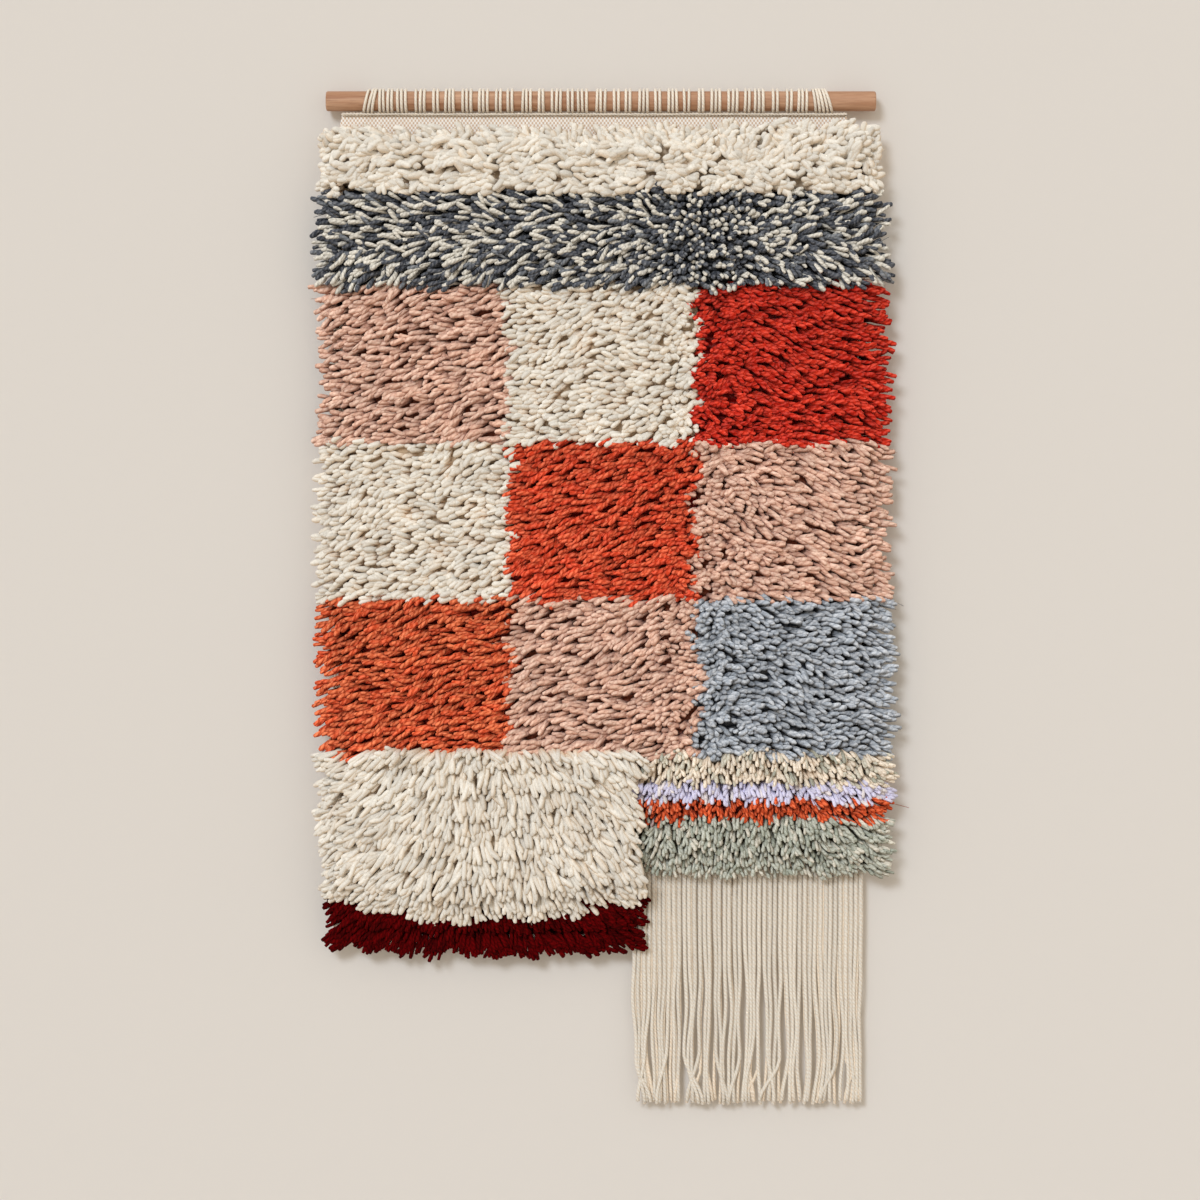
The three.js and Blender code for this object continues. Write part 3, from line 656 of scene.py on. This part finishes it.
# A yarn's lengths: half width at the belly, the pitch of strands side by side and along their lean, and
# the reach from root to tip. Its form is the widths of its stations as shares.
yarns = table("halfWidth flat width along side blunt knee curl form", dict(
    roving=(3.85, 0.95, 4.5, 10.0, 25, 0.5, 0.95, 3.4, (0.75, 0.95, 1.05, 1.02, 0.7)),
    soft=(3.0, 0.95, 4.6, 12.5, 28, 0.4, 0.93, 1.2, (0.8, 0.95, 1.0, 1.06, 0.78)),
    ply=(2.7, 0.95, 4.1, 12.0, 27, 0.4, 0.93, 1.3, (0.8, 0.98, 1.0, 1.04, 0.78)),
    puff=(3.3, 0.95, 4.6, 11.0, 21, 0.45, 0.9, 1.4, (0.65, 0.9, 1.04, 1.04, 0.64)),
    thinPuff=(2.9, 0.95, 4.6, 11.0, 21, 0.45, 0.9, 1.4, (0.65, 0.9, 1.04, 1.04, 0.64)),
    tweed=(2.3, 0.95, 3.8, 11.5, 31, 0.35, 0.9, 0.9, (0.6, 0.74, 0.9, 1.26, 0.92)),
    cut=(2.1, 0.95, 3.5, 8.8, 21, 0.3, 0.88, 0.9, (0.75, 0.92, 1.0, 1.12, 0.82)),
    hem=(2.35, 0.95, 3.45, 9.6, 28, 0.3, 0.9, 0.7, (0.8, 0.95, 1.0, 1.08, 0.82)),
    long=(3.05, 0.9, 3.75, 12.4, 33, 0.5, 0.92, 1.5, (0.8, 0.98, 1.04, 1.06, 0.76)),
))

# the tones of each mix of yarn, with their shares
yarnTones = dict(
    cream=[((233, 227, 215), 0.7), ((230, 221, 206), 0.3)],
    tweed=[((94, 98, 106), 0.45), ((70, 74, 82), 0.35), ((130, 134, 139), 0.2)],
    pink=[((246, 209, 187), 0.6), ((239, 197, 173), 0.4)],
    rust_deep=[((242, 70, 44), 0.6), ((216, 50, 30), 0.4)],
    rust_mid=[((255, 116, 74), 0.6), ((250, 94, 56), 0.4)],
    rust_light=[((255, 136, 86), 0.6), ((252, 114, 68), 0.4)],
    blue=[((210, 216, 223), 0.6), ((192, 200, 209), 0.4)],
    mixed=[((250, 238, 220), 0.65), ((220, 216, 200), 0.25), ((182, 184, 170), 0.1)],
    lilac=[((228, 225, 246), 0.85), ((240, 232, 228), 0.15)],
    stripe=[((255, 118, 66), 0.97), ((224, 214, 208), 0.03)],
    sage=[((202, 205, 192), 0.55), ((178, 184, 170), 0.25), ((228, 223, 208), 0.2)],
    burgundy=[((98, 1, 3), 0.6), ((76, 1, 2), 0.4)],
)
ecruStrand = (236, 230, 216)


def pickTones(kind, count):
    chance = np.array([share for _, share in yarnTones[kind]])
    tones = np.array([toLinear(tone) for tone, _ in yarnTones[kind]])
    return tones[rng.choice(len(chance), count, p=chance / chance.sum())]


# A block's span is its top and bottom, and its seams are the uprights where it meets another colour,
# or None where the side is the hanging's own rim. Ledges and tiers are a pitch and a pull. The tone
# gives the block's slot, and also its name and look where these aren't given.
plainBlock = dict(
    depth=22, seams=(None, None), overSeam=2, lean="whole", ledges=(14.5, 5.2), tiers=None, hang=0,
    arc=(0.5, 2), topRim=False, bottomRim=False, rightRim=None, levelTop=False, under=7, bedShare=0.48,
    bedRight=None, uneven=0.11, loose=0.05, fade=0, givesRim=True,
)
puffed = dict(ledges=(14.5, 3.0), bedShare=0.62, uneven=0.07)
rusty = dict(look="rust", yarn="ply", fade=0.12)
patchForms = dict(
    pink=dict(yarn="soft"), cream=dict(yarn="puff", **puffed), blue=dict(yarn="thinPuff"),
    rust_deep=rusty, rust_mid=rusty, rust_light=rusty,
)
patchRows = (
    ((-206, -379), ("pink_pile_left", "pink"), ("cream_pile_top", "cream"), ("rust_pile_deep", "rust_deep")),
    ((-379, -552), ("cream_pile_left", "cream"), ("rust_pile_mid", "rust_mid"), ("pink_pile_right", "pink")),
    ((-552, -725), ("rust_pile_light", "rust_light"), ("pink_pile_middle", "pink"), ("blue_pile", "blue")),
)
patchSeams = ((None, -104), (-104, 107), (107, None))
stripe = dict(yarn="cut", seams=(43, None), lean="fall", ledges=(14.5, 2.4))

blocks = [
    dict(node="cream_band", tone="cream", look="downy", yarn="roving", span=(-36, -100), depth=30,
         topRim=True, lean="crown", **puffed),
    dict(node="tweed_band", tone="tweed", yarn="tweed", span=(-100, -206), depth=27, lean="burst"),
]
for row, (span, *patches) in enumerate(patchRows, 1):
    for column, (name, tone) in enumerate(patches, 1):
        blocks.append(dict(name=name, node=f"patch_{row}_{column}_{tone}", tone=tone, span=span,
                           seams=patchSeams[column - 1], **patchForms[tone]))
blocks += [
    dict(node="mixed_stripe", tone="mixed", span=(-725, -757), depth=25, side=17, **stripe),
    dict(node="lilac_stripe", tone="lilac", span=(-757, -776), depth=24, side=16, givesRim=False, **stripe),
    dict(name="rust_stripe_pile", node="rust_stripe", tone="stripe", look="rust", slot="rust_mid_pile",
         span=(-776, -796), depth=24, side=16, **stripe),
    dict(node="sage_end", tone="sage", span=(-796, -851), depth=25, side=18, bottomRim=True, hang=12,
         **stripe),
    dict(node="burgundy_hem", tone="burgundy", yarn="hem", span=(-884, -936), seams=(None, 47), rightRim=56,
         bedRight=31, levelTop=True, under=14, depth=14, bottomRim=True, hang=14, lean="hem", arc=(0.5, 3),
         ledges=(14.5, 2.4), tiers=(27, 12), loose=0),
    dict(name="long_pile", node="long_shag", tone="cream", look="downy", yarn="long", span=(-725, -884),
         seams=(None, 43), overSeam=7, bedRight=31, depth=34, bottomRim=True, hang=30, lean="skirt",
         arc=(0.85, 2), ledges=(14.5, 1.2), tiers=(23, 5), bedShare=0.74, uneven=0.05),
]
for index, given in enumerate(blocks):
    tone = given["tone"]
    byTone = dict(name=tone + "_pile", slot=tone + "_pile", look=tone)
    blocks[index] = {**plainBlock, **byTone, **given}


def rimReach(side):
    # where the locks of the solids reach on side 0 or 1: (heights, reaches), from the bottom up
    rows = []
    for block in blocks:
        if block["seams"][side] is None and block["givesRim"]:
            box = np.array(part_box(block["node"])) / metre
            rows.append((box[:, 2].mean(), box[side, 0]))
    return tuple(zip(*sorted(rows)))


reaches = rimReach(0), rimReach(1)


def uprightLine(seam, z):
    # where tips of the colours on both sides of an upright seam meet
    return seam - 3 + 3.5 * drift(seam, z, 48, 16) + 2.4 * drift(seam, z, 13, 17)


def levelLine(level, x):
    # the same along a level seam
    return level - 4 + 3.0 * drift(x, level, 62, 18) + 2.4 * drift(x, level, 14, 19)


# Leans are in degrees. Pile that hangs spreads by its left and its right share of a quarter turn, and the
# rest parts to both sides of an upright line.
leans = dict(
    stray=8, wander=13, sweep=6, tuft=26, burstTuft=34, wild=dict(burst=1.3, crown=1.4, hem=0.5),
    spread=dict(fall=(0.1, 0.62), skirt=(0.72, 0.5), hem=(0.6, 0.7)),
    partX=118, partWander=22, partWidth=110, below=15, shortest=0.42,
)
crown = dict(below=8, above=78, upShare=0.34, more=0.3, moreFrom=40, moreOver=120, fade=0.34, shortest=0.7)
burst = dict(turn=56, middle=0.42, shorter=0.75, width=90)


def leanOf(kind, x, z, span, left, right):
    # unit directions (across, up) in which tips lie, and a share that shortens the lean
    c = leans
    t = (x - left) / (right - left)
    down = (span[0] - z) / (span[0] - span[1])
    tuft = x / 15 + 0.37 * np.floor(z / 23) + 0.3 * drift(x, z, 40, 37)
    tuft = tuft - np.floor(tuft) - 0.5
    stray = rng.normal(0, c["stray"], len(x)) + c["wander"] * drift(x, z, 25, 31)
    stray = c["wild"].get(kind, 1.0) * stray + c["sweep"] * drift(x, z, 90, 32)
    if kind in c["spread"]:
        toLeft, toRight = c["spread"][kind]
        fan = np.where(t < 0.5, -toLeft * (1 - 2 * t), toRight * (2 * t - 1))
        fan = np.radians(fan * 90 + stray + c["tuft"] * tuft)
        return np.sin(fan), -np.cos(fan), np.ones_like(x)
    side = (x - c["partX"] + c["partWander"] * drift(x, z, 90, 21)) / c["partWidth"]
    side = np.clip(side, -1, 1) + 0.3 * drift(x, z, 24, 27)
    below = c["below"] + 9 * drift(x, z, 110, 22)
    short = c["shortest"] + (1 - c["shortest"]) * np.abs(np.clip(side, -1, 1))
    if kind == "crown":
        upShare = crown["upShare"] + crown["more"] * smooth((x - crown["moreFrom"]) / crown["moreOver"])
        above = crown["above"] * smooth((upShare - down) / crown["fade"]) * (1 - 0.5 * np.abs(2 * t - 1))
        below = crown["below"] - above + 10 * drift(x, z, 60, 23)
        side = side + 0.8 * drift(x, z, 70, 24)
        short = np.maximum(short, crown["shortest"])
    if kind == "burst":
        # the band's pile bursts from its middle line: up above it and down below it
        below = burst["turn"] * (down - burst["middle"]) + 8 * drift(x, z, 70, 25) + c["burstTuft"] * tuft
        short = 1 - burst["shorter"] * np.exp(-(((x - c["partX"]) / burst["width"]) ** 2))
    angle = np.radians(below + stray)
    return np.where(side > 0, 1.0, -1.0) * np.cos(angle), -np.sin(angle), short


courseForm = dict(half=350, beyond=12, slide=0.618, slideStray=0.12, acrossStray=0.6, alongStray=0.25)


def courses(yarn, low, high, hanging):
    # Places for tips: courses one strand wide, each slid along against the one before by a golden share.
    # They run level, or down where the pile hangs. Every second place is spare, for the pile that stands
    # on end or lies across its course. The last array counts the places round in fives, for a mix of yarns.
    c = courseForm
    low, high = low - c["beyond"], high + c["beyond"]
    spans = (2 * c["half"], high - low) if hanging else (high - low, 2 * c["half"])
    across = np.arange(0, spans[0], yarn["width"])
    along = np.arange(0, spans[1], yarn["along"] / 2)
    i, j = np.meshgrid(np.arange(len(across)), np.arange(len(along)), indexing="ij")
    slide = (i * c["slide"] + rng.uniform(-c["slideStray"], c["slideStray"], (len(across), 1))) % 1.0
    a = across[i] + rng.normal(0, c["acrossStray"], i.shape)
    b = along[j] + (slide + rng.uniform(-c["alongStray"], c["alongStray"], i.shape)) * yarn["along"]
    x, z = (a - c["half"], high - b) if hanging else (b - c["half"], high - a)
    return x.ravel(), z.ravel(), (j % 2 == 1).ravel(), ((2 * i + j // 2 + j % 2 * 2) % 5).ravel()


topRise = 7


def tipPlaces(block):
    # Where a block's tips stand. A ledge is a stretch of courses drawn together, highest at its lower
    # side, with a slit under it. Tiers gather the tips in rows.
    (top, bottom), (leftSeam, rightSeam), hang = block["span"], block["seams"], block["hang"]
    rise = topRise if block["topRim"] else 0
    hanging = block["lean"] in leans["spread"]
    x, z, spare, place = courses(yarns[block["yarn"]], bottom - hang, top + rise, hanging)
    z = z + 1.6 * drift(x, z, 90, 11)
    ledgePitch, ledgePull = block["ledges"]
    ledge = z / ledgePitch + 0.75 * drift(x, z, 74, 33)
    ledge = ledge - np.floor(ledge) - 0.5
    slit = smooth(0.55 + 0.6 * drift(x, z, 31, 34))
    z = z - ledge * ledgePull * slit

    leftRim, rightRim = (np.interp(z, *reach) for reach in reaches)
    ragged = 2.6 * drift(40, z, 19, 12)
    left = uprightLine(leftSeam, z) - 2 if leftSeam is not None else leftRim + 4 + ragged
    right = uprightLine(rightSeam, z) + block["overSeam"] if rightSeam is not None else rightRim - 4 + ragged
    if block["rightRim"] is not None:
        right = block["rightRim"] - 4 + ragged
    t = (x - left) / (right - left)
    if block["topRim"]:
        upper = top + rise + 3 * drift(x, 0, 40, 35) + 5 * smooth((x - 60) / 120)
    else:
        upper = top if block["levelTop"] else levelLine(top, x) + 2
    lower = levelLine(bottom, x) - 1
    if hang:
        share, power = block["arc"]
        arc = 1 - share * np.abs(2 * t - 1.05) ** power
        lower = bottom - hang * arc + 2.5 * drift(x, bottom, 24, 36)
    if block["tiers"]:
        tierPitch, tierPull = block["tiers"]
        overTier = (z - lower) / tierPitch
        inward = 1 - 0.85 * np.abs(2 * np.clip(t, 0, 1) - 1) ** 3
        z = z - (overTier - np.floor(overTier)) * tierPull * inward
    leanX, leanZ, short = leanOf(block["lean"], x, z, block["span"], left, right)
    crossing = (np.abs(leanX) if hanging else np.abs(leanZ)) * 1.3 - 0.5
    wanted = ~spare | (rng.random(len(x)) < np.maximum((1 - short) * 1.7, crossing))
    kept = wanted & (x > left) & (x < right) & (z < upper) & (z > lower)
    found = dict(x=x, z=z, left=left, right=right, lower=lower, ledge=ledge, slit=slit, leanX=leanX,
                 leanZ=leanZ, short=short, place=place)
    return {name: values[kept] for name, values in found.items()}


def ecruPlaces(x, z, place):
    # one or two strands of ecru in every five among the slate, with more ecru to the left
    second = rng.random(len(x)) < 0.8 - 0.45 * smooth((x + 40) / 160) + 0.3 * drift(x, z, 45, 41)
    ecru = (place == 0) | ((place == 2) & second)
    return ecru ^ (rng.random(len(x)) < 0.07)


def toRim(shape, *rims):
    # how far it is to the nearest rim, from pairs of whether there is one and how far off it is
    edge = np.full(shape, 99.0)
    for there, distance in rims:
        if there:
            edge = np.minimum(edge, distance)
    return edge


# A strand's side with painted shade faces away from the light above on the left. Its root stands on the
# cloth, at most beyond past its block's sides and at least inset inside the cloth's.
strand = dict(
    stations=(0.0, 0.42, 0.72, 0.92, 1.0), sides=5, shadeSide=(0.7, 0.0, -0.7), reach=(0.78, 1.15),
    slip=1.2, rootY=-0.2, beyond=16, inset=6, rootGap=2.5, rimShare=0.5, rimLead=4, rimWidth=34,
    ledge=0.28, ledgeLeast=0.35, swell=0.06, ecruOut=1.8, kneeLead=0.1, kneeUp=1.0, waver=0.5,
    innermost=-0.3, thickness=(0.86, 1.12), unevenness=(0.84, 1.15), shades=(0.86, 1.08), cloud=0.04,
)
looseFibre = dict(stray=3.5, past=(0.3, 1.0), out=3, halfWidth=0.36, sides=3)


def pile(block):
    # A strand is a curve of the second degree: out of the cloth at its root, over along the lean, and
    # highest at its tip, so each tip lies over the body of the strand past it.
    c, yarn, (top, bottom) = strand, yarns[block["yarn"]], block["span"]
    tips = tipPlaces(block)
    leanX, leanZ = tips["leanX"], tips["leanZ"]
    count = len(leanX)
    reach = block.get("side", yarn["side"]) * tips["short"] * rng.uniform(*c["reach"], count)
    slip = rng.normal(0, c["slip"], count)
    tipX = tips["x"] + leanX * slip
    tipZ = tips["z"] + leanZ * slip
    rootLeft = np.maximum(tips["left"] - c["beyond"], cloth["left"] + c["inset"])
    rootRight = np.minimum(tips["right"] + c["beyond"], cloth["right"] - c["inset"])
    rootTop = top + (-c["rootGap"] if block["topRim"] else block["under"])
    rootX = np.clip(tipX - leanX * reach, rootLeft, rootRight)
    rootZ = np.clip(tipZ - leanZ * reach, bottom + c["rootGap"], rootTop)

    # the pile thins towards the hanging's own rims
    leftSeam, rightSeam = block["seams"]
    edge = toRim(
        count, (leftSeam is None, tipX - tips["left"]),
        (rightSeam is None or block["rightRim"] is not None, tips["right"] - tipX),
        (block["bottomRim"], (tipZ - tips["lower"]) * 0.9), (block["topRim"], (top + topRise - tipZ) * 1.1),
    )
    thin = c["rimShare"] + (1 - c["rimShare"]) * smooth((edge + c["rimLead"]) / c["rimWidth"])
    lowered = c["ledge"] * tips["ledge"] * (c["ledgeLeast"] + (1 - c["ledgeLeast"]) * tips["slit"])
    uneven = rng.uniform(1 - block["uneven"], 1 + 0.7 * block["uneven"], count)
    out = block["depth"] * thin * (1 - lowered) * uneven * (1 + c["swell"] * drift(tipX, tipZ, 48, 13))
    if block["tone"] == "tweed":
        ecru = ecruPlaces(tipX, tipZ, tips["place"])
        out = out + c["ecruOut"] * ecru

    root = np.stack([rootX, np.full_like(rootX, c["rootY"]), rootZ], -1)
    tip = np.stack([tipX, c["rootY"] - out, tipZ], -1)
    knee = root + outward * (out * yarn["knee"])[:, None]
    knee[:, 0] += (tipX - rootX) * c["kneeLead"]
    knee[:, 2] += (tipZ - rootZ) * c["kneeLead"] + c["kneeUp"]
    t = np.array(c["stations"])[:, None]
    path = (1 - t) ** 2 * root[:, None] + 2 * t * (1 - t) * knee[:, None] + t**2 * tip[:, None]
    lean = unit(np.stack([tipX - rootX, np.zeros_like(tipX), tipZ - rootZ], -1) + 1e-4)
    bend = np.cross(np.broadcast_to(outward, lean.shape), lean)
    # turned so that u nought, the side with painted shade, faces away from the light
    bend = bend * np.where(bend @ c["shadeSide"] < 0, -1, 1)[:, None]
    curl = rng.normal(0, yarn["curl"], (count, 1, 1))
    curl = curl * np.sin(math.tau * t + rng.uniform(0, math.tau, (count, 1, 1)))
    waver = rng.normal(0, c["waver"], (count, 1, 3)) * np.sin(math.pi * t)
    path = path + curl * t * bend[:, None] + waver
    path[..., 1] = np.minimum(path[..., 1], c["innermost"])
    widths = yarn["halfWidth"] * np.array(yarn["form"]) * rng.uniform(*c["thickness"], (count, 1))
    widths = widths * rng.uniform(*c["unevenness"], widths.shape)
    points, faces, uv, _ = tubes(path, widths, bend, c["sides"], yarn["flat"], yarn["blunt"])
    # each point's share of its block's depth, which sets the painted shade at the roots
    rise = -points[..., 1] / (block["depth"] * thin)[:, None]
    tone = pickTones(block["tone"], count)
    if block["tone"] == "tweed":
        tone = np.where(ecru[:, None], toLinear(ecruStrand), tone)
    tone = tone * rng.uniform(*c["shades"], (count, 1))
    tone = tone * (1 + c["cloud"] * drift(tipX, tipZ, 60, 14))[:, None]
    tone = tone * (1 + block["fade"] * ((top + bottom) / 2 - tipZ) / (top - bottom))[:, None]
    strands = (points, faces, uv, rise), tone

    # a few loose fibres that stray past the tips
    fibre = looseFibre
    loose = rng.random(count) < block["loose"]
    if not loose.any():
        return together([strands])
    bent = path[loose] + rng.normal(0, fibre["stray"], (loose.sum(), 1, 3)) * t**2
    bent = bent + (bent[:, -1:] - bent[:, -2:-1]) * t**3 * rng.uniform(*fibre["past"], (loose.sum(), 1, 1))
    bent[..., 1] = np.maximum(np.minimum(bent[..., 1], c["innermost"]), path[loose][..., 1] - fibre["out"])
    fibres = tubes(bent, np.full(bent.shape[:2], fibre["halfWidth"]), bend[loose], fibre["sides"])
    return together([strands, (fibres, tone[loose])])


bedForm = dict(rim=12, topRim=9, gap=0.3, rowStep=9, columnStep=10, rimShare=0.3, swell=30, front=-0.3,
               back=-0.25, lumps=0.14, lumpSize=19, shadeDim=0.7, rise=1.2)


def bed(block):
    # The dense roots behind the strands: a closed lumpy slab with a flat back, drawn in at the rims, whose
    # colour is painted shade.
    c = bedForm
    (top, bottom), (leftSeam, rightSeam) = block["span"], block["seams"]
    low = bottom + (c["rim"] if block["bottomRim"] else c["gap"])
    high = top - (c["topRim"] if block["topRim"] else c["gap"])
    left = leftSeam + c["gap"] if leftSeam is not None else cloth["left"] + c["rim"]
    right = rightSeam - c["gap"] if rightSeam is not None else cloth["right"] - c["rim"]
    right = right if block["bedRight"] is None else block["bedRight"]
    z = np.linspace(high, low, max(4, round((high - low) / c["rowStep"])))[:, None]
    x = left + (right - left) * np.linspace(0, 1, round((right - left) / c["columnStep"])) + 0 * z
    z = z + 0 * x
    edge = toRim(x.shape, (leftSeam is None, x - left), (rightSeam is None, right - x),
                 (block["bottomRim"], z - low))
    swell = c["rimShare"] + (1 - c["rimShare"]) * smooth(edge / c["swell"])
    lumpy = 1 + c["lumps"] * drift(x, z, c["lumpSize"], 15)
    front = c["front"] - block["depth"] * block["bedShare"] * swell * lumpy
    points, quads = closedSheet(x, z, front, np.full_like(x, c["back"]))
    # painted shade: the bed's colour is its yarns' mean tone, dimmed and darkened by the look's shade
    tone = np.array([toLinear(t) for t, _ in yarnTones[block["tone"]]]).mean(0)
    return points, quads, tone * c["shadeDim"] * np.array(looks[block["look"]]["shade"])


def withBed(block):
    # the strands with the bed's quads put between theirs and their fans
    flat = pile(block)
    bedPoints, bedQuads, bedShadeTone = bed(block)
    quads, fans = flat["faces"]
    corner = bedPoints[bedQuads.ravel()]
    bedUv = np.stack([0.25 + corner[:, 0] / 6000, corner[:, 2]], -1)
    flat["faces"] = [np.concatenate([quads, bedQuads + len(flat["points"])]), fans]
    flat["points"] = np.concatenate([flat["points"], bedPoints])
    flat["uv"] = np.concatenate([flat["uv"][:quads.size], bedUv, flat["uv"][quads.size:]])
    flat["rise"] = np.concatenate([flat["rise"], np.full(len(bedPoints), bedForm["rise"])])
    flat["tone"] = np.concatenate([flat["tone"], np.broadcast_to(bedShadeTone, bedPoints.shape)])
    return flat


for block in blocks:
    putMesh(block["name"], **withBed(block), material=yarnMaterials[block["look"]], slot=block["slot"],
            nodes=[block["node"]])
print("pile done")

# Room: wall, floor, light and camera, in metres

room = dict(
    wallTone=(216, 211, 204), wallY=0.0155, wallHalf=2.6, wallTop=1.6,
    floorTone=(214, 206, 196), floorZ=-1.45, floorHalf=4, floorFront=-6, floorBack=4,
    camera=(-0.0011, -3.70, -0.5536), lens=100, skyTone=(255, 246, 233), sky=0.775,
)


def flatPanel(name, half, front, back, material):
    # front and back are the y and z of its long edges
    mesh = bpy.data.meshes.new(name)
    corners = [(-half, *front), (half, *front), (half, *back), (-half, *back)]
    mesh.from_pydata(corners, [], [(0, 1, 2, 3)])
    mesh.materials.append(material)
    putObject(name, mesh)


def wallMaterial():
    # plaster from the room's side; from behind it lets everything through
    material, tree, shader = newMaterial("plaster wall", 0.95, 0.05)
    feed(tree, shader.inputs["Base Color"], toLinear(room["wallTone"]))
    clear = addNode(tree, "BsdfTransparent").outputs[0]
    side = addNode(tree, "NewGeometry").outputs["Backfacing"]
    shadow = addNode(tree, "LightPath").outputs["Is Shadow Ray"]
    through = mathNode(tree, "MAXIMUM", side, shadow)
    mix = addNode(tree, "MixShader", {0: through, 1: shader.outputs[0], 2: clear})
    feed(tree, tree.nodes["Material Output"].inputs["Surface"], mix.outputs[0])
    return material


def floorMaterial():
    material, tree, shader = newMaterial("pale floor", 0.9, 0.1)
    feed(tree, shader.inputs["Base Color"], toLinear(room["floorTone"]))
    return material


y, low = room["wallY"], room["floorZ"]
flatPanel("wall", room["wallHalf"], (y, low), (y, room["wallTop"]), wallMaterial())
flatPanel("floor", room["floorHalf"], (room["floorFront"], low), (room["floorBack"], low), floorMaterial())


def putLight(name, kind, travel, tone, **settings):
    # travel is the way in which its light goes
    light = bpy.data.lights.new(name, kind)
    for key, value in settings.items():
        setattr(light, key, value)
    light.color = toLinear(tone)
    lamp = putObject(name, light)
    yaw = math.atan2(travel[1], travel[0]) - math.pi / 2
    pitch = math.atan2(travel[2], math.hypot(travel[0], travel[1])) + math.pi / 2
    lamp.rotation_euler = (pitch, 0, yaw)
    return lamp


putLight("key", "SUN", (0.42, 1.0, -0.54), (231, 241, 255), energy=1.585, angle=math.radians(18))
fill = putLight("back fill", "AREA", (-1.2, -3.2, -0.95), (255, 255, 255), shape="DISK", size=2.4, energy=50)
fill.location = (1.2, 3.2, 0.4)

world = bpy.data.worlds.new("studio")
world.use_nodes = True
sky = world.node_tree.nodes["Background"].inputs
feed(world.node_tree, sky["Color"], toLinear(room["skyTone"]))
feed(world.node_tree, sky["Strength"], room["sky"])
bpy.context.scene.world = world

lens = bpy.data.cameras.new("camera")
lens.lens = room["lens"]
lens.sensor_width = 36
lens.clip_end = 60
camera = putObject("camera", lens)
camera.location = room["camera"]
camera.rotation_euler = (math.pi / 2, 0, 0)
bpy.context.scene.camera = camera
cycles = bpy.context.scene.cycles
cycles.max_bounces = 6
cycles.diffuse_bounces = 3
cycles.transparent_max_bounces = 8
view = bpy.context.scene.view_settings
view.view_transform = "Standard"
view.look = "None"
print("room done")
